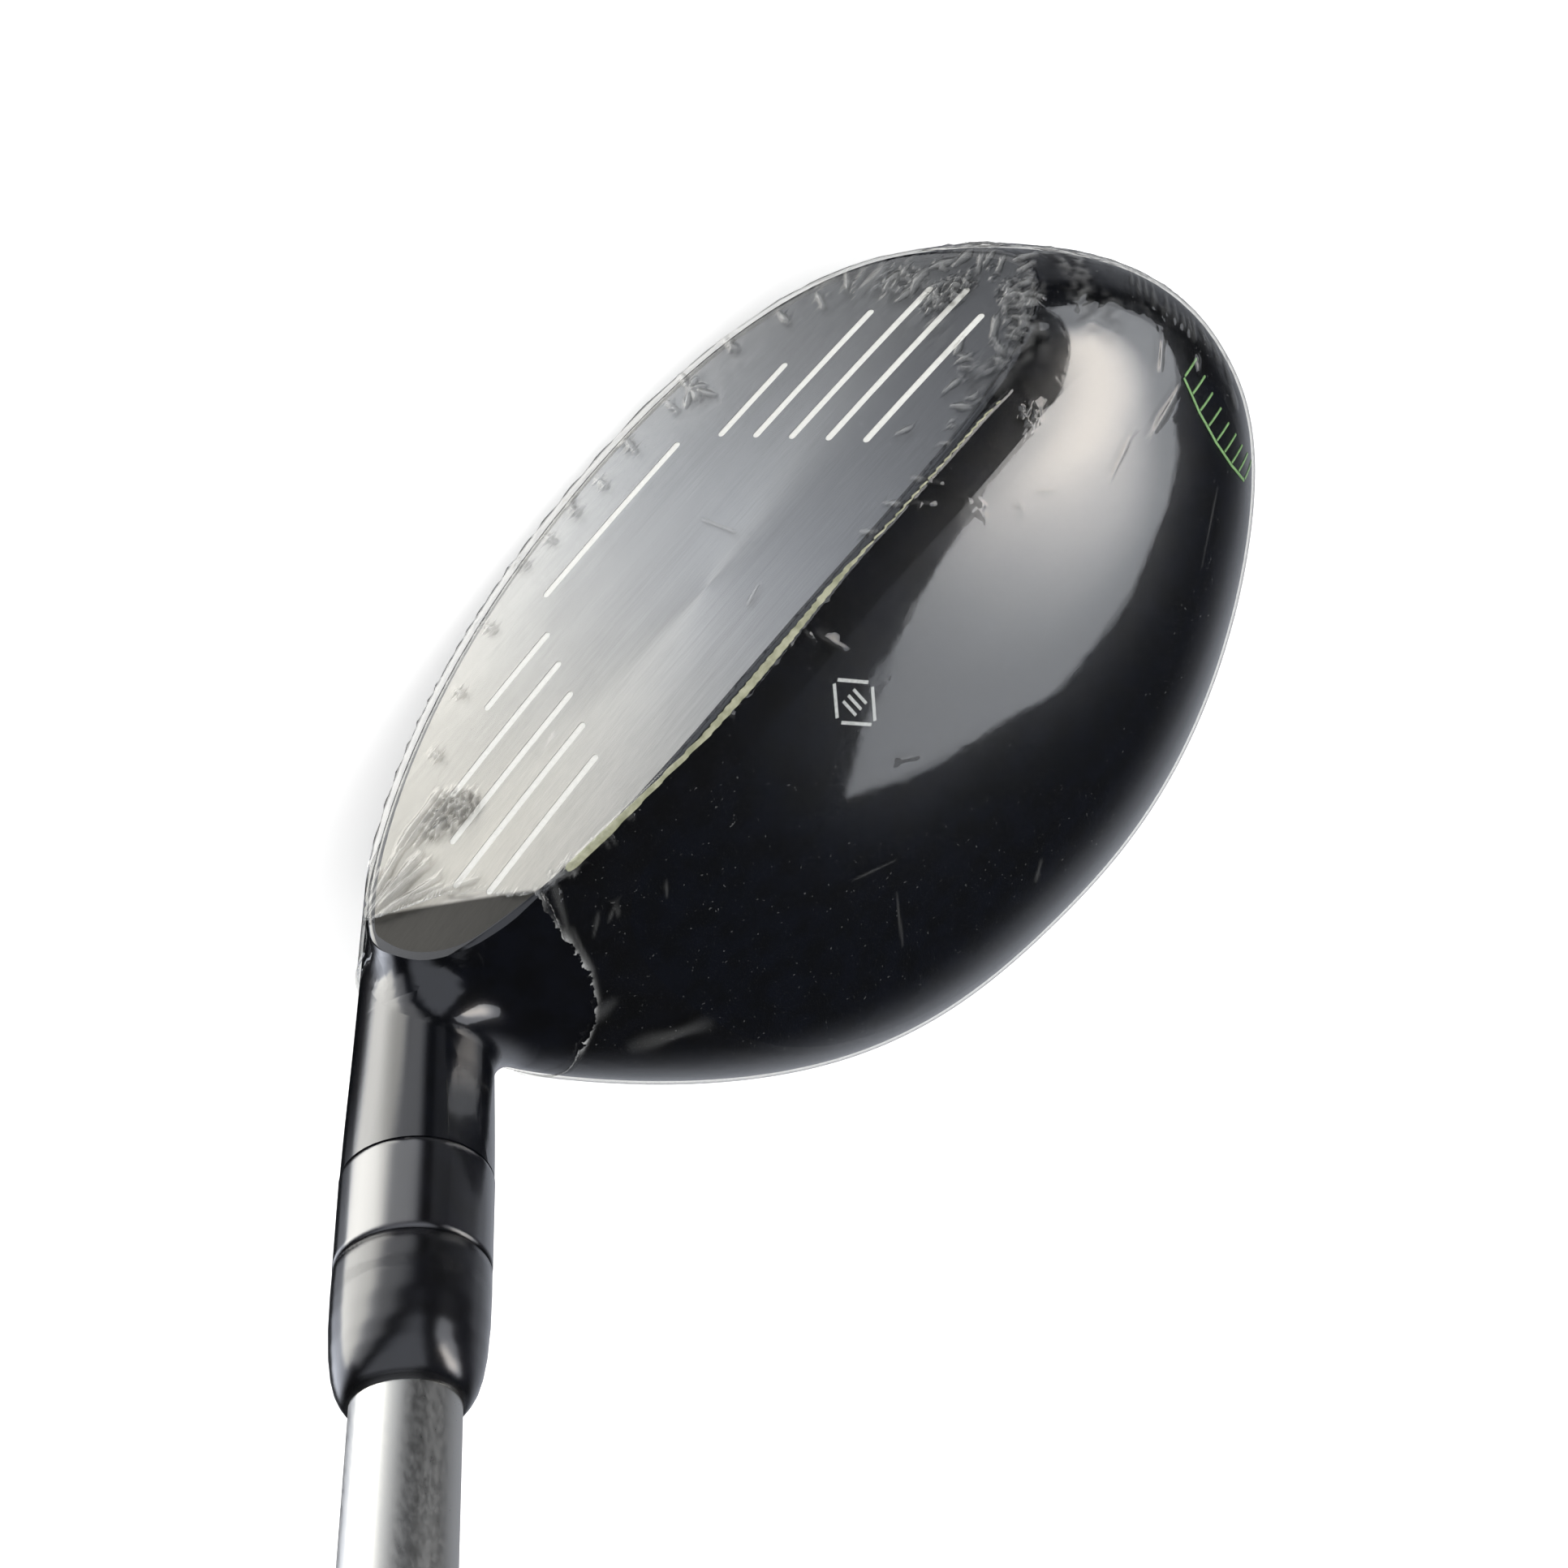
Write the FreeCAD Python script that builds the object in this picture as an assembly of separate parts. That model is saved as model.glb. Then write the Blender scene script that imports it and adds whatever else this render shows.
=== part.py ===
import FreeCAD, Part
import math
import os
from FreeCAD import Vector

# Adjustable hybrid golf club, right-handed, standing at address.  Millimetres.
# +X points to the heel, the face looks towards -Y, +Z is up.
# The written solids have their origin at the middle of the flat pad on the sole.
# The script works in a frame with x = 0 at the middle of the score lines, and
# save() moves each solid by -PAD.
# Names ending in _AT are stations along the hosel axis, 0 at z = FACE_Z, rising to the grip.
os.makedirs("parts", exist_ok=True)

PAD = Vector(-12.3, 1.9, 0)      # middle of the flat pad, in the working frame

# ---------------------------------------------------------------- dimensions
INCH = 25.4
LIE = math.radians(57.83)        # hosel axis to the ground
LOFT = math.radians(19.53)       # face to the vertical
FACE_Y, FACE_Z = -13.0, 18.7     # middle of the fourth score row
BULGE_R = 450.0                  # face radius heel to toe
ROLL_R = 320.0                   # face radius top to sole
FACE_T = 2.4                     # face plate thickness
WALL = 1.9                       # body wall
CROWN_T = 0.9                    # crown shell wall

HOSEL_X, HOSEL_Y = 47.57, -2.48  # hosel axis at z = FACE_Z
SEAM_AT = 20.47                  # hosel top / loft ring
RING_TOP_AT = 29.59              # loft ring / ferrule
FERRULE_TOP_AT = 41.95
SLEEVE_LOW_AT = -3.0             # lower end of the adapter sleeve
BORE_LOW_AT = -3.2               # bottom of the hosel bore
SEAT_AT = -5.6                   # lower face of the bolt seat
HOSEL_R = 6.65
BORE_R = 5.35                    # hosel bore
COUNTER_R = 6.05                 # counterbore for the teeth
SLEEVE_R = 5.30                  # adapter sleeve
BOLT_PORT_R = 4.4                # bolt port in the sole

TEETH = 12                       # positions of the adjustable hosel
TOOTH_H = 2.4
TOOTH_PITCH = 360.0 / TEETH      # degrees
TOOTH_GAP = 0.7                  # degrees of free play on each flank

M5_R = 2.5
M5_PITCH = 0.8
M5_ROOT_R = 2.08
M5_HOLE_R = M5_R + 0.06
HEX_ACROSS, HEX_DEPTH = 4.0, 2.2

# ---------------------------------------------------------------- directions
AXIS = Vector(math.cos(LIE), 0, math.sin(LIE))       # up the hosel and shaft
ACROSS = Vector(math.sin(LIE), 0, -math.cos(LIE))    # across the hosel, to the heel
HEELWARD = Vector(1, 0, 0)
REAR = Vector(0, 1, 0)
UP = Vector(0, 0, 1)
HOSEL_MID = Vector(HOSEL_X, HOSEL_Y, FACE_Z)
FACE_UP = Vector(0, math.sin(LOFT), math.cos(LOFT))
FACE_OUT = Vector(0, -math.cos(LOFT), math.sin(LOFT))
FACE_MID = Vector(0, FACE_Y, FACE_Z)


def save(name, shape):
    """write one piece; a compound of one solid is written as that solid"""
    if len(shape.Solids) == 1:
        shape = shape.Solids[0]
    out = shape.copy()
    out.translate(PAD * -1)
    out.exportStep("parts/%s.step" % name)


# ---------------------------------------------------------------- basic solids
def beyond(point, normal, width=400.0, height=400.0):
    """big box on the side of the plane through point that normal points to"""
    box = Part.makeBox(width, width, height, Vector(-width / 2, -width / 2, 0))
    turn = FreeCAD.Rotation(UP, normal)
    box.Placement = FreeCAD.Placement(point, turn).multiply(box.Placement)
    return box


def smooth_prism(points, sweep):
    """prism through a closed smooth outline"""
    curve = Part.BSplineCurve()
    curve.interpolate(points, PeriodicFlag=True)
    return Part.Face(Part.Wire([curve.toShape()])).extrude(sweep)


def on_axis(station):
    return HOSEL_MID + AXIS * station


def cyl(low, high, radius):
    """cylinder on the hosel axis"""
    return Part.makeCylinder(radius, high - low, on_axis(low), AXIS)


def revolve_axis(profile, spline=False):
    """solid of revolution about the hosel axis; profile is (station, radius), low to high"""
    points = [on_axis(station) + ACROSS * radius for station, radius in profile]
    bottom, top = on_axis(profile[0][0]), on_axis(profile[-1][0])
    edges = []
    if points[0].distanceToPoint(bottom) > 1e-6:
        edges.append(Part.makeLine(bottom, points[0]))
    if spline:
        curve = Part.BSplineCurve()
        curve.interpolate(points)
        edges.append(curve.toShape())
    else:
        for start, end in zip(points, points[1:]):
            if start.distanceToPoint(end) > 1e-7:
                edges.append(Part.makeLine(start, end))
    if points[-1].distanceToPoint(top) > 1e-6:
        edges.append(Part.makeLine(points[-1], top))
    edges.append(Part.makeLine(top, bottom))
    solid = Part.Face(Part.Wire(edges)).revolve(HOSEL_MID, AXIS, 360)
    if solid.Volume < 0:
        solid.reverse()
    return solid


def sector(low, high, inner_r, outer_r, start, end):
    """ring sector about the hosel axis, angles in degrees from ACROSS towards REAR"""
    def at(radius, degrees):
        turn = math.radians(degrees)
        return (on_axis(low) + ACROSS * (radius * math.cos(turn))
                + REAR * (radius * math.sin(turn)))

    mid = (start + end) / 2
    edges = [
        Part.Arc(at(outer_r, start), at(outer_r, mid), at(outer_r, end)).toShape(),
        Part.makeLine(at(outer_r, end), at(inner_r, end)),
        Part.Arc(at(inner_r, end), at(inner_r, mid), at(inner_r, start)).toShape(),
        Part.makeLine(at(inner_r, start), at(outer_r, start)),
    ]
    return Part.Face(Part.Wire(edges)).extrude(AXIS * (high - low))


def teeth(low, high, inner_r, outer_r, start):
    """TEETH ring sectors, each half a pitch wide less the play"""
    out = []
    for i in range(TEETH):
        angle = start + i * TOOTH_PITCH
        out.append(sector(low, high, inner_r, outer_r,
                          angle + TOOTH_GAP, angle + TOOTH_PITCH / 2 - TOOTH_GAP))
    return out


# ---------------------------------------------------------------- curve helpers
def spaced(points, steps, count):
    """count points along a polyline, one every 1/steps of its length"""
    lengths = [0.0]
    for start, end in zip(points, points[1:]):
        lengths.append(lengths[-1] + math.hypot(end[0] - start[0], end[1] - start[1]))
    out, j = [], 0
    for i in range(count):
        want = lengths[-1] * i / steps
        while j < len(points) - 2 and lengths[j + 1] < want:
            j += 1
        part = (want - lengths[j]) / max(lengths[j + 1] - lengths[j], 1e-12)
        start, end = points[j], points[j + 1]
        out.append((start[0] + part * (end[0] - start[0]),
                    start[1] + part * (end[1] - start[1])))
    return out


def resample(points, count):
    """count equally spaced points round a closed polyline"""
    return spaced(points + points[:1], count, count)


def quarter_arc(power, count):
    """count equally spaced points from (1, 0) to (0, 1) on |x|^(2/power)+|y|^(2/power)=1"""
    fine = 1500
    points = []
    for i in range(fine + 1):
        turn = math.pi / 2 * i / fine
        points.append((math.cos(turn) ** power, math.sin(turn) ** power))
    out = spaced(points, count - 1, count)
    out[-1] = points[-1]
    return out


def solve(matrix, rhs):
    """Gaussian elimination; rhs entries are lists of equal length"""
    size = len(matrix)
    left = [list(row) for row in matrix]
    right = [list(row) for row in rhs]
    for i in range(size):
        pivot = max(range(i, size), key=lambda k: abs(left[k][i]))
        left[i], left[pivot] = left[pivot], left[i]
        right[i], right[pivot] = right[pivot], right[i]
        scale = left[i][i]
        left[i] = [v / scale for v in left[i]]
        right[i] = [v / scale for v in right[i]]
        for k in range(size):
            if k != i and left[k][i]:
                factor = left[k][i]
                left[k] = [u - factor * v for u, v in zip(left[k], left[i])]
                right[k] = [u - factor * v for u, v in zip(right[k], right[i])]
    return right


def basis(knots, i, at, degree=3):
    """value of B-spline basis function i"""
    if degree == 0:
        inside = knots[i] <= at < knots[i + 1]
        at_end = at == knots[-1] and knots[i] < at <= knots[i + 1]
        return 1.0 if inside or at_end else 0.0
    value = 0.0
    rise = knots[i + degree] - knots[i]
    fall = knots[i + degree + 1] - knots[i + 1]
    if rise:
        value += (at - knots[i]) / rise * basis(knots, i, at, degree - 1)
    if fall:
        value += (knots[i + degree + 1] - at) / fall * basis(knots, i + 1, at, degree - 1)
    return value


# ---------------------------------------------------------------- head pebble
# The head is one smooth closed surface made of cross-sections from toe to
# heel; each section has a crown arc, a sole arc and a rounded rim.
TOE_X, HEEL_X = -57.26, 49.05
# terms 1, c, c^2 and, towards the heel only, c^3 of the position c = -1..1
REAR_DEPTH = (53.53, 2.60, -22.80, -18.06)   # half depth behind the section centre
FRONT_DEPTH = (24.91, -4.77, -3.08, -6.54)   # half depth in front of it
CROWN_RISE = (16.89, -1.02, -1.16, -7.71)    # crown height over the rim
SOLE_DROP = (16.00, -4.15, -2.42, -2.87)     # sole depth below the rim
CENTRE_Y = (-0.04, -8.94, 6.60, 0.00)
RIM_Z = (16.15, -0.99, 4.17, 0.00)
RIM_TILT = 2.87                              # rise of the rim towards the rear
# fullness of the curves
TOE_POWER, HEEL_POWER, CROWN_POWER, SOLE_POWER = 0.807, 0.506, 0.921, 0.593
SECTIONS, AROUND = 25, 40                    # grid size, toe to heel and round a section
INSIDE_Y, INSIDE_Z = 15, 16                  # a line inside the head, to tell in from out

CROWN_ARC = quarter_arc(CROWN_POWER, 41)[:-1]
SOLE_ARC = quarter_arc(SOLE_POWER, 41)[:-1]


def section(c, size):
    """x and dense closed (y, z) outline at toe-heel position c (-1..1)"""
    def term(a):
        return a[0] + a[1] * c + a[2] * c * c + a[3] * max(c, 0.0) ** 3

    x = (TOE_X + HEEL_X) / 2 + (HEEL_X - TOE_X) / 2 * c
    rear, front = size * term(REAR_DEPTH), size * term(FRONT_DEPTH)
    rise, drop = size * term(CROWN_RISE), size * term(SOLE_DROP)
    mid_y, rim = term(CENTRE_Y), term(RIM_Z)
    outline = []
    for u, v in CROWN_ARC:
        outline.append((mid_y + rear * u, rim + rise * v + RIM_TILT * (size * u) ** 2))
    for u, v in CROWN_ARC:
        outline.append((mid_y - front * v, rim + rise * u))
    for u, v in SOLE_ARC:
        outline.append((mid_y - front * u, rim - drop * v))
    for u, v in SOLE_ARC:
        outline.append((mid_y + rear * v, rim - drop * u + RIM_TILT * (size * v) ** 2))
    return x, outline


def pebble_grid():
    """grid[j][i]: j from toe pole to heel pole, i round the section"""
    half = SECTIONS // 2 + 1
    toe = quarter_arc(TOE_POWER, half)
    heel = quarter_arc(HEEL_POWER, half)
    stations = [(-c, size) for c, size in toe] + heel[::-1][1:]
    grid = []
    for j, (c, size) in enumerate(stations):
        if j in (0, SECTIONS - 1):
            x, outline = section(-1.0 if j == 0 else 1.0, 1e-9)
            grid.append([Vector(x, *outline[0])] * AROUND)
        else:
            x, outline = section(c, max(size, 1e-9))
            grid.append([Vector(x, y, z) for y, z in resample(outline, AROUND)])
    return grid


def pebble_surface(grid):
    """cubic surface through the grid, periodic round the section"""
    rings, around = len(grid), len(grid[0])
    # clamped from toe to heel, with end tangents square to the toe-heel line
    knots = [0.0] * 3 + [float(k) for k in range(rings)] + [float(rings - 1)] * 3
    pole_count = rings + 2
    rows = [[basis(knots, i, float(j)) for i in range(pole_count)] for j in range(rings)]
    rows.insert(1, [-1.0, 1.0] + [0.0] * (pole_count - 2))
    rows.insert(pole_count - 2, [0.0] * (pole_count - 2) + [-1.0, 1.0])
    rhs = [[] for _ in range(pole_count)]
    for i in range(around):
        line = [grid[j][i] for j in range(rings)]
        # one-sided slope at each end from the first two rings
        toe_slope = ((line[1] - line[0]) * 4.0 - (line[2] - line[0])) * 0.5
        heel_slope = ((line[-1] - line[-2]) * 4.0 - (line[-1] - line[-3])) * 0.5
        toe_slope.x = heel_slope.x = 0.0
        wanted = ([line[0], toe_slope * (1 / 3.0)] + line[1:-1]
                  + [heel_slope * (1 / 3.0), line[-1]])
        for row, v in zip(rhs, wanted):
            row += [v.x, v.y, v.z]
    lengthwise = solve(rows, rhs)

    periodic = [[0.0] * around for _ in range(around)]
    for i in range(around):
        periodic[i][i] += 4 / 6.0
        periodic[i][(i - 1) % around] += 1 / 6.0
        periodic[i][(i + 1) % around] += 1 / 6.0
    rhs = []
    for i in range(around):
        row = []
        for j in range(pole_count):
            row += lengthwise[j][3 * i:3 * i + 3]
        rhs.append(row)
    solved = solve(periodic, rhs)
    poles = []
    for i in range(around):
        # pole index shifts by one so that the first knot meets the first point
        row = solved[(i - 1) % around]
        poles.append([Vector(*row[3 * j:3 * j + 3]) for j in range(pole_count)])
    surface = Part.BSplineSurface()
    surface.buildFromPolesMultsKnots(
        poles, [1] * (around + 1), [4] + [1] * (rings - 2) + [4],
        [float(i) for i in range(around + 1)], [float(j) for j in range(rings)],
        True, False, 3, 3)
    return surface


def surface_solid(surface):
    solid = Part.Solid(Part.Shell([surface.toShape()]))
    if solid.Volume < 0:
        solid.reverse()
    return solid


GRID = pebble_grid()
SURFACE = pebble_surface(GRID)
PEBBLE = surface_solid(SURFACE)


def pebble_offset(distance):
    """the pebble grown by distance (negative shrinks it)"""
    moved = []
    for j, ring in enumerate(GRID):
        row = []
        for i, point in enumerate(ring):
            if j == 0:
                normal = Vector(-1, 0, 0)
            elif j == len(GRID) - 1:
                normal = Vector(1, 0, 0)
            else:
                normal = SURFACE.normal(float(i), float(j))
                if normal.dot(point - Vector(point.x * 0.8, INSIDE_Y, INSIDE_Z)) < 0:
                    normal = normal * -1
            row.append(point + normal * distance)
        moved.append(row)
    return surface_solid(pebble_surface(moved))


# ---------------------------------------------------------------- face surface
FRONT_REACH = 60     # depth of the blocks in front of the face


def flat_point(x, h, off=0.0):
    """point on the flat plane of the face, h up the face"""
    return FACE_MID + HEELWARD * x + FACE_UP * h + FACE_OUT * off


def face_point(x, h, off=0.0):
    """point on the curved face"""
    bend = off - x * x / (2 * BULGE_R) - h * h / (2 * ROLL_R)
    return FACE_MID + HEELWARD * x + FACE_UP * h + FACE_OUT * bend


def face_block(off, depth):
    """block from the curved face, moved out by off, on outwards by depth"""
    points = []
    for i in range(13):
        x = -75 + 150 * i / 12.0
        points.append([face_point(x, -45 + 90 * j / 8.0, off) for j in range(9)])
    surface = Part.BSplineSurface()
    surface.interpolate(points)
    return surface.toShape().extrude(FACE_OUT * depth)


def in_front(off):
    """everything in front of the face, stopping short of the hosel's own front"""
    return face_block(off, FRONT_REACH).cut(beyond(on_axis(4.5), AXIS))


# ---------------------------------------------------------------- head outside
# (station, radius)
HOSEL_PROFILE = [(-24.0, 6.30), (-8.0, 6.36), (0.0, 6.42), (8.0, 6.50), (14.0, 6.60),
                 (SEAM_AT, HOSEL_R)]
HEEL_SLOPE = math.radians(12.0)      # slope of the hosel's lower end
HEEL_CUT_POINT = Vector(35.0, 0, 2.0)
FILLET_R = 5.0                       # hosel to pebble
EDGE_R = 0.8                         # rounding of the face edge
HEEL_OVERLAP = 0.8                   # heel end starts this far behind the face
GROUND = Part.makeBox(300, 300, 20, Vector(-150, -150, -20))

# lower end of the bare face where it runs out into the hosel, (x, h) in the face
HEEL_END = [
    (44.9, -7.5), (44.6, -5.5), (44.6, -3.6), (44.9, -2.3), (45.6, -1.1), (46.01, 0.61),
    (45.62, 2.19), (44.03, 5.70), (41.62, 8.21), (39.86, 9.48), (37.84, 10.46),
    (35.66, 11.25), (34.18, 11.55), (32.2, 11.9),
]
HEEL_DRAFT = Vector(-0.0747, -0.5115, 0.856)    # sweep of the end wall, up and forward
HEEL_DRAFT.normalize()


def junction(shape):
    """edges shared by the pebble and the hosel"""
    out = []
    for edge in shape.Edges:
        if edge.Degenerated:
            continue
        faces = [f for f in shape.Faces if any(edge.isSame(g) for g in f.Edges)]
        if len(faces) == 2:
            areas = sorted(f.Area for f in faces)
            if areas[1] > 5000 and areas[0] < 5000:
                out.append(edge)
    return out


def with_hosel(pebble, off):
    """pebble blended into the lower hosel, whose surface is moved out by off"""
    down = Vector(math.sin(HEEL_SLOPE), 0, -math.cos(HEEL_SLOPE))
    hosel = revolve_axis([(station, radius + off) for station, radius in HOSEL_PROFILE],
                         spline=True)
    hosel = hosel.cut(beyond(HEEL_CUT_POINT + down * off, down, 120, 60))
    whole = pebble.fuse(hosel)
    return whole.makeFillet(FILLET_R - off, junction(whole))


def heel_keep():
    """the hosel side of the face's heel end, left standing in front of the face"""
    base = FACE_MID + HEEL_DRAFT * -30.0

    def flat(x, h):
        point = face_point(x, h)
        return point - HEEL_DRAFT * (point - base).dot(HEEL_DRAFT)

    points = [flat(x, h) for x, h in HEEL_END]
    curve = Part.BSplineCurve()
    curve.interpolate(points)
    ring = [points[-1], flat(34.0, 30.0), flat(80.0, 30.0), flat(80.0, -9.0), points[0]]
    edges = [curve.toShape()] + [Part.makeLine(a, b) for a, b in zip(ring, ring[1:])]
    return Part.Face(Part.Wire(edges)).extrude(HEEL_DRAFT * 140.0)


def face_wire(shape):
    """outline of the foremost large face"""
    large = (f for f in shape.Faces if f.Area > 1500)
    return min(large, key=lambda f: f.CenterOfMass.y).OuterWire


RAW = with_hosel(PEBBLE, 0.0)
OUTER = RAW.cut(in_front(0)).cut(GROUND)
OUTER = OUTER.makeFillet(EDGE_R, [max(face_wire(OUTER).Edges, key=lambda e: e.Length)])
HEEL_KEEP = heel_keep()
FACE_WIRE = face_wire(RAW.cut(in_front(0).cut(HEEL_KEEP)).cut(GROUND))
OUTER = OUTER.fuse(
    RAW.common(HEEL_KEEP).common(face_block(-HEEL_OVERLAP, FRONT_REACH)).cut(GROUND))

# ---------------------------------------------------------------- face outline
INSET_TOP, INSET_SIDE, INSET_SOLE = 0.50, 0.9, 1.05   # painted border round the steel


def inset_outline(count=72):
    """(x, h) outline of the face plate, inside the edge of the face"""
    edge = [(p.x, (p - FACE_MID).dot(FACE_UP)) for p in FACE_WIRE.discretize(Distance=0.4)]
    points = resample(edge, count)
    area = sum(a[0] * b[1] - b[0] * a[1] for a, b in zip(points, points[1:] + points[:1]))
    if area < 0:
        points = points[::-1]
    inward = []
    for i in range(count):
        before, after = points[i - 1], points[(i + 1) % count]
        length = math.hypot(after[0] - before[0], after[1] - before[1])
        inward.append((-(after[1] - before[1]) / length, (after[0] - before[0]) / length))
    inset = [INSET_TOP if v < -0.75 else INSET_SOLE if v > 0.5 else INSET_SIDE
             for _, v in inward]
    # smooth the distances and directions
    for _ in range(6):
        inset = [(inset[i - 1] + inset[i] + inset[(i + 1) % count]) / 3
                 for i in range(count)]
        inward = [tuple((inward[i - 1][k] + 2 * inward[i][k] + inward[(i + 1) % count][k]) / 4
                        for k in (0, 1)) for i in range(count)]
    return [(p[0] + m[0] * d, p[1] + m[1] * d) for p, m, d in zip(points, inward, inset)]


def face_prism(outline, near, far):
    """prism square to the face through a closed smooth outline"""
    return smooth_prism([flat_point(x, h, near) for x, h in outline], FACE_OUT * (far - near))


def shrunk(outline, scale):
    """outline scaled about its mean point"""
    mid_x = sum(p[0] for p in outline) / len(outline)
    mid_h = sum(p[1] for p in outline) / len(outline)
    return [(mid_x + (x - mid_x) * scale, mid_h + (h - mid_h) * scale) for x, h in outline]


OUTLINE = inset_outline()

# ---------------------------------------------------------------- score lines
SCORE_W, SCORE_D = 0.75, 0.45    # score line width and depth
PAINT_SUNK = 0.06                # paint surface below the face
ROW_PITCH = 3.53
ROW_0_HALF = 10.24               # half length of the undivided lowest row
MID_ROW = 3                      # passes through the face middle
# rows 1 to 5 up the face: distance of the toe end and the heel end from x = 0
ROW_ENDS = [(23.03, 22.50), (32.36, 31.00), (37.43, 34.33), (39.00, 37.20), (37.11, 35.62)]
GAP_BASE, GAP_STEP = 11.17, 1.664    # half gap in row k: base + step * k


def score_lines():
    """(toe end x, heel end x, h) of each line"""
    lines = [(-ROW_0_HALF, ROW_0_HALF, -MID_ROW * ROW_PITCH)]
    for k, (toe, heel) in enumerate(ROW_ENDS, 1):
        inner = GAP_BASE + GAP_STEP * k
        lines.append((-toe, -inner, (k - MID_ROW) * ROW_PITCH))
        lines.append((inner, heel, (k - MID_ROW) * ROW_PITCH))
    return lines


def capsule(toe, heel, h, near=2.5, far=-8.0):
    """round-ended bar square to the face"""
    radius = SCORE_W / 2
    low_toe = flat_point(toe + radius, h - radius, near)
    low_heel = flat_point(heel - radius, h - radius, near)
    heel_end = flat_point(heel, h, near)
    high_heel = flat_point(heel - radius, h + radius, near)
    high_toe = flat_point(toe + radius, h + radius, near)
    toe_end = flat_point(toe, h, near)
    wire = Part.Wire([Part.makeLine(low_toe, low_heel),
                      Part.Arc(low_heel, heel_end, high_heel).toShape(),
                      Part.makeLine(high_heel, high_toe),
                      Part.Arc(high_toe, toe_end, low_toe).toShape()])
    return Part.Face(wire).extrude(FACE_OUT * (far - near))


GROOVES, FILLS = [], []
GROOVE_SKIN = face_block(-SCORE_D, SCORE_D + 1.0)
PAINT_SKIN = face_block(-PAINT_SUNK, -(SCORE_D - PAINT_SUNK))
for score_line in score_lines():
    line_bar = capsule(*score_line)
    GROOVES.append(line_bar.common(GROOVE_SKIN))
    FILLS.append(line_bar.common(PAINT_SKIN))
save("score_line_paint", Part.makeCompound(FILLS))

# ---------------------------------------------------------------- face plate
# The slot leaves a wall round the hosel bore, where the plate runs past it.
PLATE_SLOT = face_prism(OUTLINE, 3.0, -9.0).common(face_block(-FACE_T, FACE_T + 1.5))
PLATE_SLOT = PLATE_SLOT.cut(cyl(-12.0, SEAM_AT, BORE_R + 0.45))
save("face_plate", OUTER.common(PLATE_SLOT).cut(Part.makeCompound(GROOVES)))

# ---------------------------------------------------------------- crown
BOND_GAP = 0.1                   # bond layer under the crown shell
WINDOW_SCALE = 0.86              # openings behind the crown and the face plate
CROWN_LOW, CROWN_HIGH = 20.0, 48.0
CROWN_CENTRE = (-6.0, 22.0)
# (x, y) seen from above
CROWN_PLAN = [
    (-51.3, 15.5), (-49.9, 24), (-46, 32.2), (-40.5, 38.3), (-34, 42.9), (-26.5, 46.6),
    (-19.5, 48.7), (-12.5, 49.6), (-4, 49.3), (4.2, 47.7), (12.3, 44.4), (20.5, 38.6),
    (27.2, 30.8), (30.6, 22.0), (31.6, 12.5), (30.6, 4.0), (27.0, -1.0), (19, -2.6),
    (9, -2.6), (-2, -2.6), (-13, -2.5), (-24, -2.1), (-34, -1.5), (-42, 0.8), (-48, 6.5),
]


def crown_plan_prism(scale):
    """upright prism through the crown outline, scaled about CROWN_CENTRE"""
    mid_x, mid_y = CROWN_CENTRE
    points = [Vector(mid_x + (x - mid_x) * scale, mid_y + (y - mid_y) * scale, CROWN_LOW)
              for x, y in CROWN_PLAN]
    return smooth_prism(points, UP * (CROWN_HIGH - CROWN_LOW))


IN_CROWN = pebble_offset(-CROWN_T)
IN_BOND = pebble_offset(-(CROWN_T + BOND_GAP))
IN_WALL = pebble_offset(-WALL)
CROWN_PRISM = crown_plan_prism(1.0)
CROWN_OPEN = crown_plan_prism(WINDOW_SCALE)
save("crown_shell", CROWN_PRISM.common(OUTER).cut(IN_CROWN))
CROWN_POCKET = CROWN_PRISM.common(OUTER).cut(IN_BOND)
save("crown_bond", CROWN_PRISM.cut(CROWN_OPEN).common(IN_CROWN).cut(IN_BOND))

# ---------------------------------------------------------------- weight port place
WEIGHT_X, WEIGHT_Y = 0.0, 26.0   # sole weight screw
WEIGHT_R = 7.0
WEIGHT_PORT_H = 4.2              # depth of the weight port
BOSS_R = WEIGHT_R + 2.0


def sole_height(y):
    line = Part.makeLine(Vector(WEIGHT_X, y, -5), Vector(WEIGHT_X, y, 15))
    return min(v.Z for v in PEBBLE.common(line).Vertexes)


SOLE_NEAR, SOLE_MID, SOLE_FAR = [sole_height(WEIGHT_Y + step) for step in (-1.0, 0.0, 1.0)]
WEIGHT_POINT = Vector(WEIGHT_X, WEIGHT_Y, SOLE_MID)
# square to the sole, into the head
WEIGHT_AXIS = Vector(0, -(SOLE_FAR - SOLE_NEAR) / 2.0, 1.0).normalize()


def weight_cyl(low, high, radius):
    """cylinder on the weight screw's axis, heights from the sole surface"""
    return Part.makeCylinder(radius, high - low, WEIGHT_POINT + WEIGHT_AXIS * low, WEIGHT_AXIS)


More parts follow.
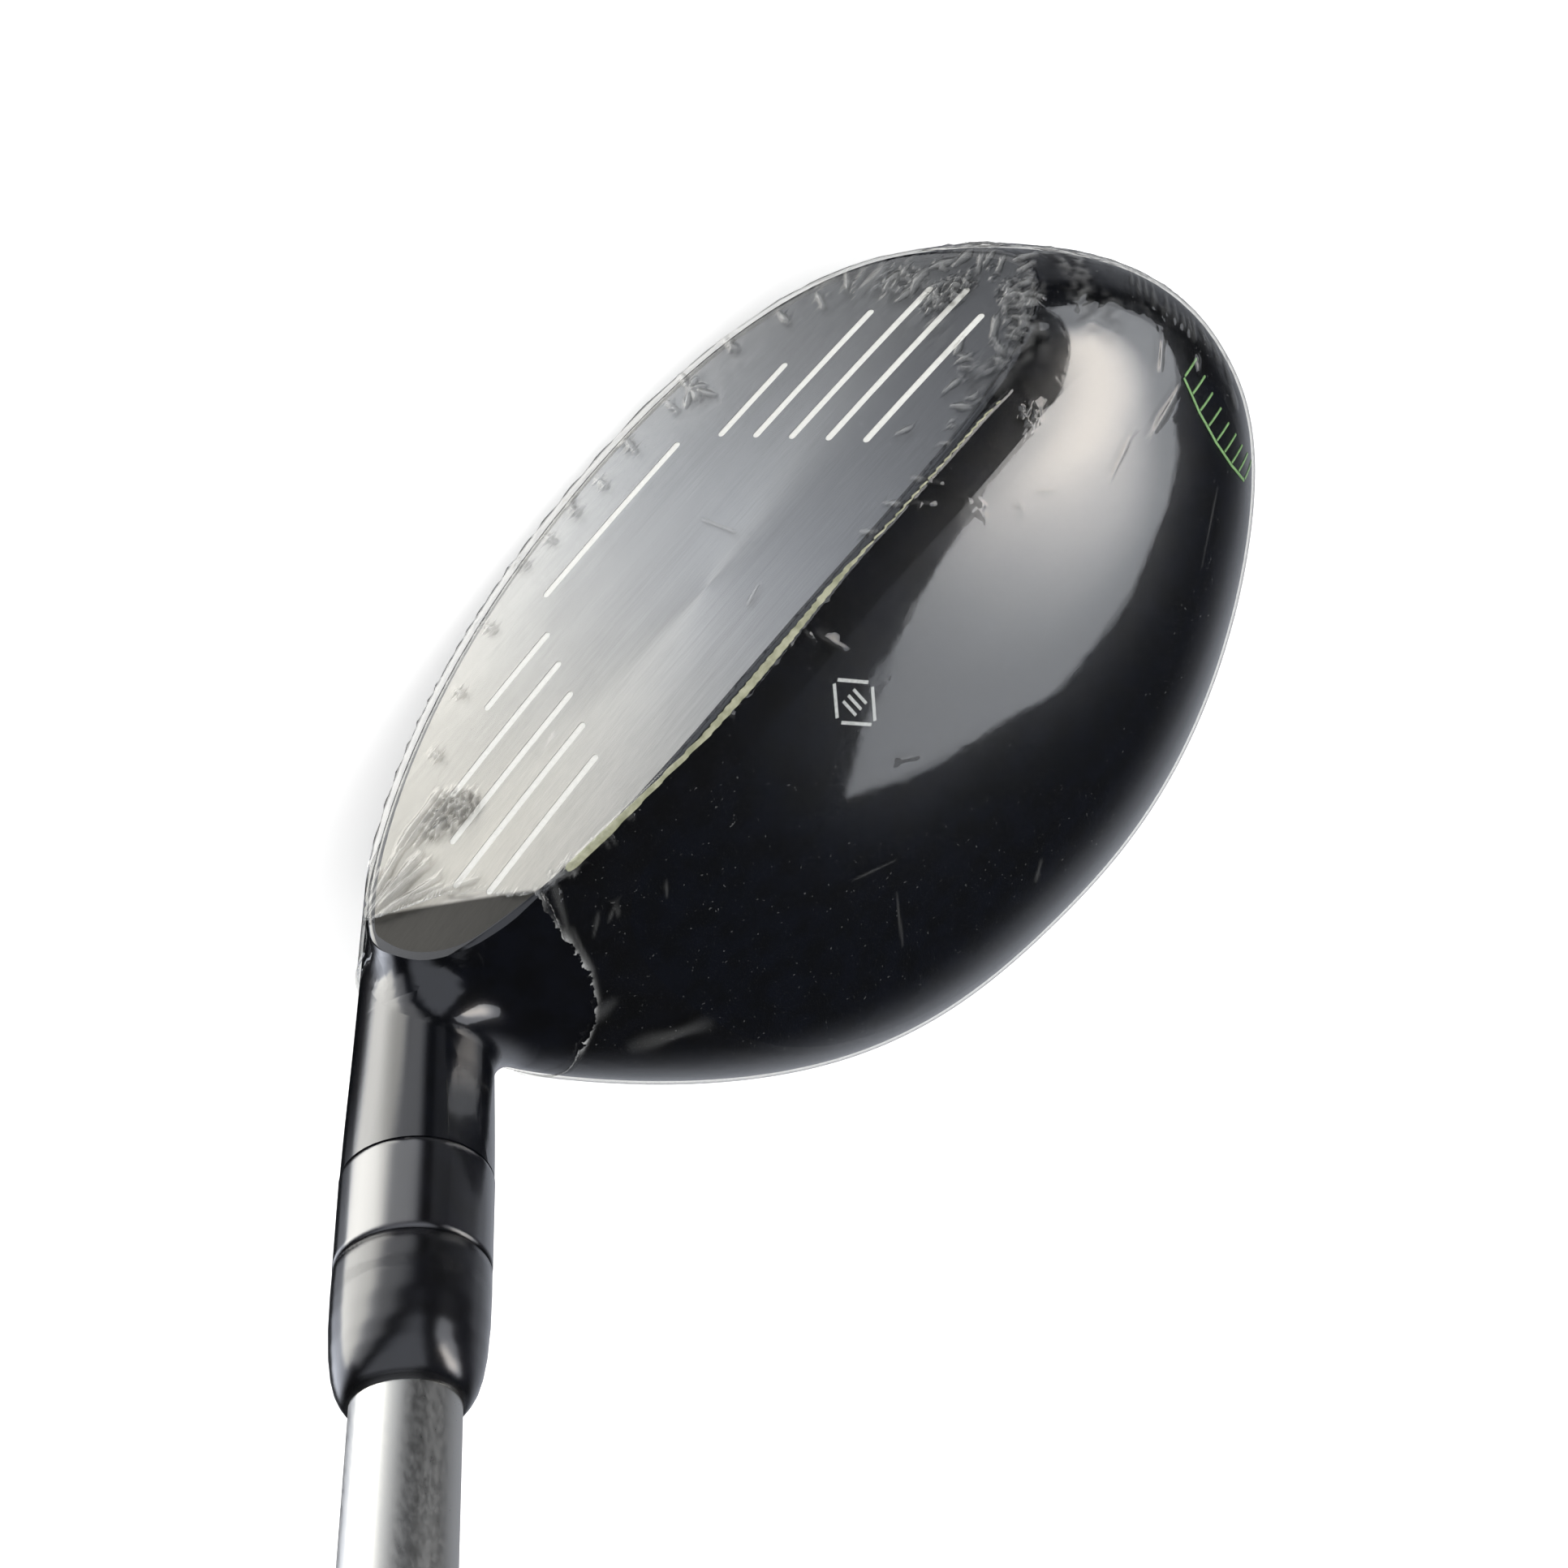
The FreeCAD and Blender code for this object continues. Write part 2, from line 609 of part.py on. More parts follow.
# ---------------------------------------------------------------- head body
def make_head_body():
    hosel_metal = cyl(-30.0, 40.0, BORE_R + 1.6)      # kept round the hosel bore
    cavity = IN_WALL.cut(in_front(-(FACE_T + 1.2))).cut(hosel_metal)
    window = face_prism(shrunk(OUTLINE, WINDOW_SCALE), -1.0, -9.0)
    window = window.common(IN_WALL).cut(hosel_metal)

    boss = weight_cyl(0.6, 11.0, BOSS_R).common(IN_WALL)
    weight_port = weight_cyl(-3.0, WEIGHT_PORT_H, WEIGHT_R + 0.10)
    weight_port = weight_port.fuse(weight_cyl(WEIGHT_PORT_H - 0.1, 12.0, 2.55))

    body = OUTER.cut(PLATE_SLOT).cut(CROWN_POCKET)
    crown_open = CROWN_OPEN.common(IN_CROWN).cut(beyond(Vector(0, 0, CROWN_LOW), UP * -1))
    body = body.cut(cavity).cut(window).cut(crown_open)
    body = body.fuse(boss).cut(weight_port)

    # hosel bore, tooth ring at its mouth, bolt seat and port
    bore = cyl(BORE_LOW_AT, SEAM_AT + 5, BORE_R)
    counterbore = cyl(SEAM_AT - TOOTH_H, SEAM_AT + 5, COUNTER_R)
    seat_hole = cyl(SEAT_AT - 1, BORE_LOW_AT + 1, M5_HOLE_R)
    bolt_port = cyl(-30.0, SEAT_AT, BOLT_PORT_R)
    hosel_teeth = teeth(SEAM_AT - TOOTH_H, SEAM_AT - 0.15, BORE_R + 0.02, COUNTER_R + 0.2, 0.0)
    body = body.cut(bore).cut(counterbore).cut(seat_hole).cut(bolt_port)
    return body.fuse(hosel_teeth)


save("head_body", make_head_body())

# ---------------------------------------------------------------- loft ring and clip
RING_BORE_R = SLEEVE_R + 0.08    # with radial running clearance
CLIP_AT = 25.0                   # middle of the ring clip
CLIP_H = 0.6


def clip_space(radius):
    """disc a little taller than the ring clip"""
    return cyl(CLIP_AT - CLIP_H / 2 - 0.05, CLIP_AT + CLIP_H / 2 + 0.05, radius)


def make_loft_ring():
    low, high = SEAM_AT + 0.05, RING_TOP_AT - 0.05
    ring = revolve_axis([(low, RING_BORE_R), (low, 6.60), (SEAM_AT + 0.35, 6.70),
                         (RING_TOP_AT - 0.25, 6.62), (high, 6.52), (high, RING_BORE_R)])
    ring = ring.cut(cyl(SEAM_AT - 5, RING_TOP_AT + 5, RING_BORE_R))
    ring = ring.cut(clip_space(5.90))
    # slots in its upper end for the teeth of the sleeve
    ring = ring.cut([sector(high - TOOTH_H, RING_TOP_AT + 1.0, SLEEVE_R - 0.3, COUNTER_R,
                            (i + 0.5) * TOOTH_PITCH - TOOTH_GAP,
                            (i + 1) * TOOTH_PITCH + TOOTH_GAP) for i in range(TEETH)])
    # teeth on its lower end for the hosel
    return ring.fuse(teeth(SEAM_AT - TOOTH_H + 0.1, SEAM_AT + 0.4,
                           RING_BORE_R, COUNTER_R - 0.06, TOOTH_PITCH / 2))


def make_ring_clip():
    """snap ring that holds the loft ring on the sleeve, open by 24 degrees"""
    clip = cyl(CLIP_AT - CLIP_H / 2, CLIP_AT + CLIP_H / 2, 5.82)
    clip = clip.cut(cyl(CLIP_AT - 2, CLIP_AT + 2, 5.07))
    return clip.cut(sector(CLIP_AT - 2, CLIP_AT + 2, 3.0, 8.0, 78.0, 102.0))


save("loft_ring", make_loft_ring())
save("ring_clip", make_ring_clip())

# ---------------------------------------------------------------- adapter sleeve and epoxy
COLLAR_TOP_AT = RING_TOP_AT + 3.0
SLEEVE_TOP_AT = RING_TOP_AT + 6.0
TIP_R = 0.350 * INCH / 2         # shaft tip
TIP_AT = 6.5                     # lower end of the shaft
EPOXY_R = TIP_R + 0.10


def make_adapter_sleeve():
    sleeve = cyl(SLEEVE_LOW_AT, SLEEVE_TOP_AT, SLEEVE_R)
    sleeve = sleeve.fuse(cyl(RING_TOP_AT, COLLAR_TOP_AT, 6.0))
    sleeve = sleeve.fuse(teeth(RING_TOP_AT - TOOTH_H + 0.1, RING_TOP_AT + 0.4,
                               SLEEVE_R - 0.15, COUNTER_R - 0.06, TOOTH_PITCH / 2))
    sleeve = sleeve.cut(clip_space(8.0).cut(cyl(CLIP_AT - 3, CLIP_AT + 3, 5.0)))
    sleeve = sleeve.cut(cyl(TIP_AT - 0.1, SLEEVE_TOP_AT + 5, EPOXY_R))
    return sleeve.cut(cyl(SLEEVE_LOW_AT - 1, 5.0, M5_HOLE_R))


def make_tip_epoxy():
    return cyl(TIP_AT, SLEEVE_TOP_AT, EPOXY_R).cut(cyl(TIP_AT - 1, SLEEVE_TOP_AT + 1, TIP_R))


save("adapter_sleeve", make_adapter_sleeve())
save("tip_epoxy", make_tip_epoxy())

# ---------------------------------------------------------------- ferrule
# (station, radius)
FERRULE_PROFILE = [
    (RING_TOP_AT + 0.02, 4.6), (RING_TOP_AT + 0.02, 6.46), (RING_TOP_AT + 0.30, 6.58),
    (32.0, 6.58), (35.0, 6.50), (37.5, 6.30), (39.2, 6.02), (40.3, 5.70), (41.0, 5.35),
    (41.5, 5.00), (41.85, 4.66), (FERRULE_TOP_AT, 4.50), (FERRULE_TOP_AT, 4.46),
]


def make_ferrule():
    ferrule = revolve_axis(FERRULE_PROFILE)
    ferrule = ferrule.cut(cyl(RING_TOP_AT - 1, COLLAR_TOP_AT + 0.02, 6.02))
    ferrule = ferrule.cut(cyl(COLLAR_TOP_AT - 1, SLEEVE_TOP_AT + 0.05, SLEEVE_R + 0.02))
    return ferrule.cut(cyl(RING_TOP_AT - 1, FERRULE_TOP_AT + 1, TIP_R + 0.01))


save("ferrule", make_ferrule())

# ---------------------------------------------------------------- shaft
BUTT_R = 0.600 * INCH / 2        # shaft butt
SHAFT_WALL = 0.45
PARALLEL_AT = 60.0               # end of the parallel tip
BUTT_AT = 1002.0                 # upper end of the shaft


def shaft_r(station):
    if station < PARALLEL_AT:
        return TIP_R
    return TIP_R + (BUTT_R - TIP_R) * (station - PARALLEL_AT) / (BUTT_AT - PARALLEL_AT)


def make_shaft():
    outer = revolve_axis([(TIP_AT, TIP_R), (PARALLEL_AT, TIP_R), (BUTT_AT, BUTT_R)])
    tip_bore, butt_bore = TIP_R - SHAFT_WALL, BUTT_R - SHAFT_WALL
    inner = revolve_axis([(TIP_AT - 1, tip_bore), (TIP_AT, tip_bore), (PARALLEL_AT, tip_bore),
                          (BUTT_AT, butt_bore), (BUTT_AT + 1, butt_bore)])
    return outer.cut(inner)


save("shaft", make_shaft())
save("tip_plug", cyl(TIP_AT + 0.5, TIP_AT + 9.0, TIP_R - SHAFT_WALL))

# ---------------------------------------------------------------- grip
CAP_TOP_AT = 1007.0              # end of the grip cap: 40.5 in club from the ground
CAP_LOW_AT = BUTT_AT + 0.2
GRIP_LEN = 270.0
GRIP_AT = CAP_TOP_AT - GRIP_LEN
GRIP_MOUTH_R = 8.75
GRIP_BUTT_R = 13.3
GRIP_STEPS = 12
TAPE_T = 0.25
TAPE_LOW_AT, TAPE_TOP_AT = GRIP_AT + 6.0, BUTT_AT - 1.0
GRIP_PLAY = 0.01                 # clearance inside the grip
VENT_R = 1.6


def grip_r(station):
    part = (station - GRIP_AT) / GRIP_LEN
    return GRIP_MOUTH_R + (GRIP_BUTT_R - GRIP_MOUTH_R) * (0.86 * part + 0.14 * part ** 3)


def make_grip_tape():
    low, high = TAPE_LOW_AT, TAPE_TOP_AT
    tape = revolve_axis([(low, shaft_r(low) + TAPE_T), (high, shaft_r(high) + TAPE_T)])
    return tape.cut(revolve_axis([(low - 1, shaft_r(low - 1)), (high + 1, shaft_r(high + 1))]))


def make_grip():
    profile = [(GRIP_AT, 7.6), (GRIP_AT + 0.15, 8.25), (GRIP_AT + 0.6, 8.62),
               (GRIP_AT + 1.4, GRIP_MOUTH_R)]
    for i in range(1, GRIP_STEPS + 1):
        station = GRIP_AT + (CAP_LOW_AT - GRIP_AT - 0.2) * i / GRIP_STEPS
        profile.append((station, grip_r(station)))
    step_at = TAPE_LOW_AT - 0.1
    top_r = shaft_r(TAPE_TOP_AT) + TAPE_T + GRIP_PLAY
    bore = [(GRIP_AT - 1, shaft_r(GRIP_AT - 1) + GRIP_PLAY),
            (step_at, shaft_r(step_at) + GRIP_PLAY),
            (step_at, shaft_r(TAPE_LOW_AT) + TAPE_T + GRIP_PLAY),
            (TAPE_TOP_AT, top_r), (CAP_LOW_AT + 1, top_r)]
    return revolve_axis(profile).cut(revolve_axis(bore))


def make_grip_cap():
    rim_r = grip_r(CAP_LOW_AT)
    # (height over the cap's lower face, radius less rim_r)
    rises = [(0.0, -0.1), (0.3, 0.15), (1.8, 0.15), (2.9, -0.7), (3.7, -2.4), (4.3, -5.0),
             (4.65, -8.0)]
    profile = [(CAP_LOW_AT + rise, rim_r + change) for rise, change in rises]
    cap = revolve_axis(profile + [(CAP_TOP_AT, 3.0)])
    return cap.cut(cyl(BUTT_AT - 8, CAP_TOP_AT + 2, VENT_R))


save("grip_tape", make_grip_tape())
save("grip", make_grip())
save("grip_cap", make_grip_cap())


# ---------------------------------------------------------------- screws
def thread_grooves(base, direction, low, high):
    """ring grooves that leave annular thread ridges on an M5 stem"""
    out = []
    flank = M5_PITCH * 0.42
    crest = M5_R + 0.01
    z = low
    while z + M5_PITCH <= high + 1e-6:
        start = base + direction * z
        narrowing = Part.makeCone(crest, M5_ROOT_R, flank, start, direction)
        widening = Part.makeCone(M5_ROOT_R, crest, flank, base + direction * (z + flank),
                                 direction)
        groove = Part.makeCylinder(M5_R + 0.5, M5_PITCH * 0.84, start, direction)
        out.append(groove.cut(narrowing).cut(widening))
        z += M5_PITCH
    return Part.makeCompound(out)


def hex_socket(base, direction):
    radius = HEX_ACROSS / math.sqrt(3)
    side = direction.cross(REAR).normalize()
    other = direction.cross(side).normalize()
    points = []
    for i in range(7):
        turn = math.radians(60 * i)
        points.append(base + side * (radius * math.cos(turn))
                      + other * (radius * math.sin(turn)))
    return Part.Face(Part.makePolygon(points)).extrude(direction * HEX_DEPTH)


def chamfer_rims(disc, radius, size):
    rims = [e for e in disc.Edges if abs(e.Length - 2 * math.pi * radius) < 0.01]
    return disc.makeChamfer(size, rims)


BOLT_HEAD_R = 3.6
BOLT_HEAD_TOP_AT = SEAT_AT - 0.80
BOLT_HEAD_LOW_AT = BOLT_HEAD_TOP_AT - 3.4
BOLT_THREAD_AT = -3.2            # lower end of the thread
BOLT_TOP_AT = 2.6


def make_bolt_washer():
    return cyl(SEAT_AT - 0.75, SEAT_AT - 0.05, BOLT_PORT_R - 0.07).cut(cyl(-20, 10, M5_HOLE_R))


def make_hosel_bolt():
    bolt = cyl(BOLT_HEAD_LOW_AT, BOLT_HEAD_TOP_AT, BOLT_HEAD_R)
    bolt = chamfer_rims(bolt, BOLT_HEAD_R, 0.3)
    bolt = bolt.fuse(cyl(BOLT_HEAD_TOP_AT - 0.01, BOLT_TOP_AT, M5_R))
    bolt = bolt.cut(thread_grooves(HOSEL_MID, AXIS, BOLT_THREAD_AT, BOLT_TOP_AT))
    return bolt.cut(hex_socket(on_axis(BOLT_HEAD_LOW_AT - 0.01), AXIS))


def make_weight_washer():
    washer = weight_cyl(WEIGHT_PORT_H - 0.70, WEIGHT_PORT_H - 0.05, 6.0)
    return washer.cut(weight_cyl(0, 12, M5_HOLE_R))


def make_weight_screw():
    stem_top = WEIGHT_PORT_H + 4.2
    screw = weight_cyl(0.15, WEIGHT_PORT_H - 0.75, WEIGHT_R)
    screw = chamfer_rims(screw, WEIGHT_R, 0.35)
    # ring groove in the outer face
    screw = screw.cut(weight_cyl(-1, 0.55, 5.9).cut(weight_cyl(-2, 2, 5.3)))
    screw = screw.fuse(weight_cyl(WEIGHT_PORT_H - 0.8, stem_top, M5_R))
    screw = screw.cut(thread_grooves(WEIGHT_POINT, WEIGHT_AXIS, WEIGHT_PORT_H, stem_top))
    return screw.cut(hex_socket(WEIGHT_POINT + WEIGHT_AXIS * 0.1, WEIGHT_AXIS))


save("bolt_washer", make_bolt_washer())
save("hosel_bolt", make_hosel_bolt())
save("weight_washer", make_weight_washer())
save("sole_weight_screw", make_weight_screw())


# ---------------------------------------------------------------- internal weight
def make_internal_weight():
    """dense elliptical pad low inside the head"""
    ellipse = Part.Ellipse(Vector(-8, 5, 1.0), 24.0, 8.0)
    pad = Part.Face(Part.Wire([ellipse.toShape()])).extrude(UP * 5.2)
    return pad.common(pebble_offset(-(WALL + 0.05)))


save("internal_weight", make_internal_weight())

# ---------------------------------------------------------------- crown marks
MARK_GAP, MARK_T = 0.01, 0.07    # height over the crown, thickness
PRINT_IN = pebble_offset(MARK_GAP)
PRINT_OUT = pebble_offset(MARK_GAP + MARK_T)

MARK_X, MARK_Y = 0.0, 2.9        # middle of the diamond
DIAMOND = [(MARK_X, MARK_Y - 3.6), (MARK_X + 2.5, MARK_Y),
           (MARK_X, MARK_Y + 3.6), (MARK_X - 2.5, MARK_Y)]
CORNER_GAP = 0.10                # share of each side left open at a corner
# (x, y), front to rear
TICK_LINE = [(-47.9, 9.8), (-47.2, 14.0), (-47.1, 18.4), (-47.5, 22.4), (-48.4, 26.2)]
TICKS = 9


def bar(start_x, start_y, end_x, end_y, width):
    """upright slab over a line in plan"""
    length = math.hypot(end_x - start_x, end_y - start_y)
    side_x = -(end_y - start_y) / length * width / 2
    side_y = (end_x - start_x) / length * width / 2
    points = [Vector(start_x + side_x, start_y + side_y, 25),
              Vector(start_x - side_x, start_y - side_y, 25),
              Vector(end_x - side_x, end_y - side_y, 25),
              Vector(end_x + side_x, end_y + side_y, 25)]
    return Part.Face(Part.makePolygon(points + points[:1])).extrude(UP * 20)


def printed(bars):
    """thin layer of each bar lying on the crown"""
    out = []
    for slab in bars:
        out += slab.common(PRINT_OUT).cut(PRINT_IN).Solids
    return Part.makeCompound(out)


def make_alignment_mark():
    """open diamond round three short bars, behind the top line"""
    bars = []
    for (ax, ay), (bx, by) in zip(DIAMOND, DIAMOND[1:] + DIAMOND[:1]):
        cut_x, cut_y = (bx - ax) * CORNER_GAP, (by - ay) * CORNER_GAP
        bars.append(bar(ax + cut_x, ay + cut_y, bx - cut_x, by - cut_y, 0.34))
    for shift in (-0.75, 0.0, 0.75):
        bars.append(bar(MARK_X + shift, MARK_Y - 1.1, MARK_X + shift, MARK_Y + 1.1, 0.30))
    return printed(bars)


def make_tick_marks():
    """thin bent line near the toe with short ticks on its toe side"""
    bars = []
    for start, end in zip(TICK_LINE, TICK_LINE[1:]):
        bars.append(bar(*start, *end, 0.28))
    for i in range(TICKS):
        place = i / (TICKS - 1.0) * (len(TICK_LINE) - 1)
        j = min(int(place), len(TICK_LINE) - 2)
        x = TICK_LINE[j][0] + (TICK_LINE[j + 1][0] - TICK_LINE[j][0]) * (place - j)
        y = TICK_LINE[j][1] + (TICK_LINE[j + 1][1] - TICK_LINE[j][1]) * (place - j)
        bars.append(bar(x - 0.25, y, x - 3.0, y + 0.5, 0.24))
    return printed(bars)


save("crown_alignment_mark", make_alignment_mark())
save("crown_tick_marks", make_tick_marks())

# ---------------------------------------------------------------- shrink film
FILM_IN, FILM_OUT = 0.15, 0.35   # film surfaces, offset from the head
# the film ends at this sloping plane near the hosel
FILM_END = Vector(38.357, -2.667, 25.441)
FILM_END_NORMAL = Vector(0.6802, -0.2494, 0.6893)


def wrapped(off):
    """head and lower hosel with the surface moved out by off"""
    return with_hosel(pebble_offset(off), off).cut(in_front(off))


def make_shrink_film():
    film = wrapped(FILM_OUT).cut(wrapped(FILM_IN))
    film = film.cut(beyond(FILM_END, FILM_END_NORMAL))
    film = film.cut(Part.makeBox(300, 300, 20, Vector(-150, -150, -19.95)))
    # opening round the weight screw
    return film.cut(weight_cyl(-5, 20, BOSS_R).cut(beyond(Vector(0, 0, 12), UP)))


save("shrink_film", make_shrink_film())
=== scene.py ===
"""Looks for the hybrid golf club: materials, shrink film, rubber grip, studio light and camera."""
import math

import bmesh
import bpy
import numpy as np
from mathutils import Matrix, Vector, noise
from mathutils.bvhtree import BVHTree


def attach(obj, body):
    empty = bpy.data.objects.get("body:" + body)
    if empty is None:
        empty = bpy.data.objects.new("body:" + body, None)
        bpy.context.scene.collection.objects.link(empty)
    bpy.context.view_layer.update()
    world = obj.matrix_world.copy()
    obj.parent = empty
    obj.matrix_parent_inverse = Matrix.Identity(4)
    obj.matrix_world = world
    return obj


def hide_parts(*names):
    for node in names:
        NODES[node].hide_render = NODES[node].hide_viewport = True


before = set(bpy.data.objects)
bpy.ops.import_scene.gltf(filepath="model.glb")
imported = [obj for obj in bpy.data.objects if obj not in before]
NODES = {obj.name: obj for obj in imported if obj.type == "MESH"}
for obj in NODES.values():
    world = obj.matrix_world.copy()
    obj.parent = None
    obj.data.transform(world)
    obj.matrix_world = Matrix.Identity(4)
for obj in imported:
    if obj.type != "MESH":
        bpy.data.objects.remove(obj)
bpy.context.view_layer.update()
MM = 0.001

# ---------------------------------------------------------------- geometry of the frame, mm
CAM = np.array([43.93074679, -101.17418481, 169.10180628])
CAM_R = np.array([[-0.63569447, -0.76181505, 0.12462091],
                  [0.56679823, -0.57023371, -0.59462029],
                  [0.52405372, -0.30736192, 0.79428984]])
LENS = 42.1357797
LIE = math.radians(57.83)
SA = np.array([math.cos(LIE), 0.0, math.sin(LIE)])       # up the shaft
E1 = np.array([math.sin(LIE), 0.0, -math.cos(LIE)])
E2 = np.array([0.0, 1.0, 0.0])
HA = np.array([59.87, -4.38, 18.7])                      # a point on the shaft axis
FU = (0.0, 0.3343, 0.9425)                               # up the face
WA = np.array([0.0, -0.11261194, 0.99363904])            # sole weight axis
WP = np.array([12.3, 24.1, 1.608])
CUT_P = np.array([50.657, -4.567, 25.441])               # film opening, fitted plane
CUT_N = np.array([0.68020962, -0.24937979, 0.68929282])
CUT_N = CUT_N / np.linalg.norm(CUT_N)
CUT_Y = [-30.0, -13.75, -12.9, -11.73, -10.71, -8.51, -4.19, 0.21, 3.33, 6.04, 8.0, 30.0]
CUT_D = [0.30, 0.30, -0.49, -0.52, 0.22, 0.86, 0.11, -0.46, -0.50, -0.08, 0.40, 3.0]   # edge off the plane, mm


def opening(p):
    """distance past the film's cut edge, mm (positive is open)"""
    return (p - CUT_P) @ CUT_N - np.interp(p[:, 1], CUT_Y, CUT_D)


# ---------------------------------------------------------------- node helpers
class Tree:
    """short names for building a node tree"""

    def __init__(self, tree):
        self.t = tree
        tree.nodes.clear()

    def add(self, kind, **props):
        n = self.t.nodes.new("ShaderNode" + kind)
        for k, v in props.items():
            setattr(n, k, v)
        return n

    def put(self, socket, value):
        if isinstance(value, bpy.types.NodeSocket):
            self.t.links.new(value, socket)
        elif value is not None:
            socket.default_value = value

    def math(self, op, a, b=None, c=None, clamp=False):
        n = self.add("Math", operation=op, use_clamp=clamp)
        for s, v in zip(n.inputs, (a, b, c)):
            self.put(s, v)
        return n.outputs[0]

    def vec(self, op, a, b=None, scale=None):
        n = self.add("VectorMath", operation=op)
        self.put(n.inputs[0], a)
        if b is not None:
            self.put(n.inputs[1], b)
        if scale is not None:
            self.put(n.inputs["Scale"], scale)
        return n.outputs["Value"] if op in ("DOT_PRODUCT", "LENGTH", "DISTANCE") else n.outputs["Vector"]

    def mix(self, fac, a, b):
        n = self.add("Mix", data_type="RGBA")
        self.put(n.inputs[0], fac)
        self.put(n.inputs[6], a)
        self.put(n.inputs[7], b)
        return n.outputs[2]

    def ramp(self, value, lo, hi, out_lo=0.0, out_hi=1.0, smooth=True):
        n = self.add("MapRange", interpolation_type="SMOOTHSTEP" if smooth else "LINEAR")
        for s, v in zip(n.inputs, (value, lo, hi, out_lo, out_hi)):
            self.put(s, v)
        return n.outputs[0]

    def coords(self, scale=(1, 1, 1), rot=(0, 0, 0), loc=(0, 0, 0)):
        """object coordinates in mm, turned and stretched"""
        c = self.add("TexCoord")
        m = self.add("Mapping")
        self.put(m.inputs["Vector"], c.outputs["Object"])
        m.inputs["Scale"].default_value = [1000.0 * s for s in scale]
        m.inputs["Rotation"].default_value = rot
        m.inputs["Location"].default_value = loc
        return m.outputs[0]

    def noise(self, vector, scale, detail=2.0, rough=0.5, distortion=0.0):
        n = self.add("TexNoise")
        self.put(n.inputs["Vector"], vector)
        n.inputs["Scale"].default_value = scale
        n.inputs["Detail"].default_value = detail
        n.inputs["Roughness"].default_value = rough
        n.inputs["Distortion"].default_value = distortion
        return n.outputs["Fac"]

    def bump(self, height, strength, distance, normal=None):
        n = self.add("Bump")
        self.put(n.inputs["Height"], height)
        n.inputs["Strength"].default_value = strength
        n.inputs["Distance"].default_value = distance * MM
        if normal is not None:
            self.put(n.inputs["Normal"], normal)
        return n.outputs[0]

    def principled(self, **inputs):
        n = self.add("BsdfPrincipled")
        for k, v in inputs.items():
            self.put(n.inputs[k.replace("_", " ")], v)
        return n.outputs[0]

    def output(self, shader):
        o = self.add("OutputMaterial")
        self.put(o.inputs["Surface"], shader)


def material(name):
    m = bpy.data.materials.new(name)
    m.use_nodes = True
    return m, Tree(m.node_tree)


def rgb(r, g, b):
    return (r, g, b, 1.0)


def gloss_black(name, base, rough=0.06, peel=0.010, coat=1.0, scratches=True, ior=1.5, round_mm=0.0):
    """sprayed gloss lacquer: faint orange peel, dust-fine scratches, uneven sheen"""
    m, t = material(name)
    p = t.coords()
    flow = t.noise(p, 0.35, 3.0, 0.55)
    peel_n = t.noise(p, 1.1, 2.0, 0.5)
    tint = t.mix(t.ramp(flow, 0.3, 0.7), rgb(*base), rgb(base[0] * 1.5, base[1] * 1.6, base[2] * 2.0))
    r = t.ramp(t.noise(p, 0.12, 4.0, 0.6), 0.3, 0.75, rough * 0.7, rough * 1.5)
    if scratches:
        s1 = t.noise(t.coords((0.12, 6.0, 3.0), (0.2, 0.1, 0.6)), 1.0, 1.0)
        s2 = t.noise(t.coords((5.0, 0.10, 3.0), (0.0, 0.3, -0.5)), 1.0, 1.0)
        hair = t.math("MAXIMUM", t.ramp(s1, 0.78, 0.80), t.ramp(s2, 0.79, 0.81))
        r = t.math("ADD", r, t.math("MULTIPLY", hair, 0.06))
    soft = None
    if round_mm:
        bev = t.add("Bevel", samples=8)
        bev.inputs["Radius"].default_value = round_mm * MM
        soft = bev.outputs[0]
    nrm = t.bump(peel_n, 0.35, peel, soft)
    t.output(t.principled(Base_Color=tint, Roughness=0.22, Specular_IOR_Level=0.4, Coat_Weight=coat,
                          Coat_Roughness=r, Coat_IOR=ior, Normal=nrm, Coat_Normal=nrm))
    return m


def steel(name, base, rough, stretch, aniso=0.0, tangent=None, grain=0.008, var=0.10, blotch=0.15):
    """bare steel with cut grain; stretch is the grain's direction as a scale per axis"""
    m, t = material(name)
    fine = t.noise(t.coords(stretch), 1.0, 3.0, 0.65)
    coarse = t.noise(t.coords([s * 0.3 for s in stretch], loc=(3, 7, 1)), 1.0, 2.0, 0.5)
    cloud = t.noise(t.coords(), 0.09, 3.0, 0.55)
    shade = t.math("ADD", t.math("MULTIPLY", t.math("SUBTRACT", fine, 0.5), 2.0 * var),
                   t.math("MULTIPLY", t.math("SUBTRACT", coarse, 0.5), 1.4 * var))
    shade = t.math("ADD", t.math("ADD", shade, 1.0), t.math("MULTIPLY", t.math("SUBTRACT", cloud, 0.5), blotch))
    col = t.vec("SCALE", base, scale=shade)
    r = t.ramp(fine, 0.25, 0.75, rough * 0.85, rough * 1.2)
    nrm = t.bump(fine, 0.5, grain)
    kw = dict(Base_Color=col, Metallic=1.0, Roughness=r, Normal=nrm)
    if aniso:
        kw["Anisotropic"] = aniso
        if tangent:
            kw["Tangent"] = tangent
    t.output(t.principled(**kw))
    return m


def plain(name, base, rough, bump=0.01, scale=1.5, metallic=0.0, spec=0.5, var=0.12):
    """moulded or printed surface with fine mottling"""
    m, t = material(name)
    n = t.noise(t.coords(), scale, 3.0, 0.6)
    col = t.vec("SCALE", base, scale=t.ramp(n, 0.25, 0.75, 1.0 - var, 1.0 + var))
    r = t.ramp(n, 0.2, 0.8, rough * 0.85, min(1.0, rough * 1.15))
    t.output(t.principled(Base_Color=col, Roughness=r, Metallic=metallic, Specular_IOR_Level=spec,
                          Normal=t.bump(n, 0.5, bump)))
    return m


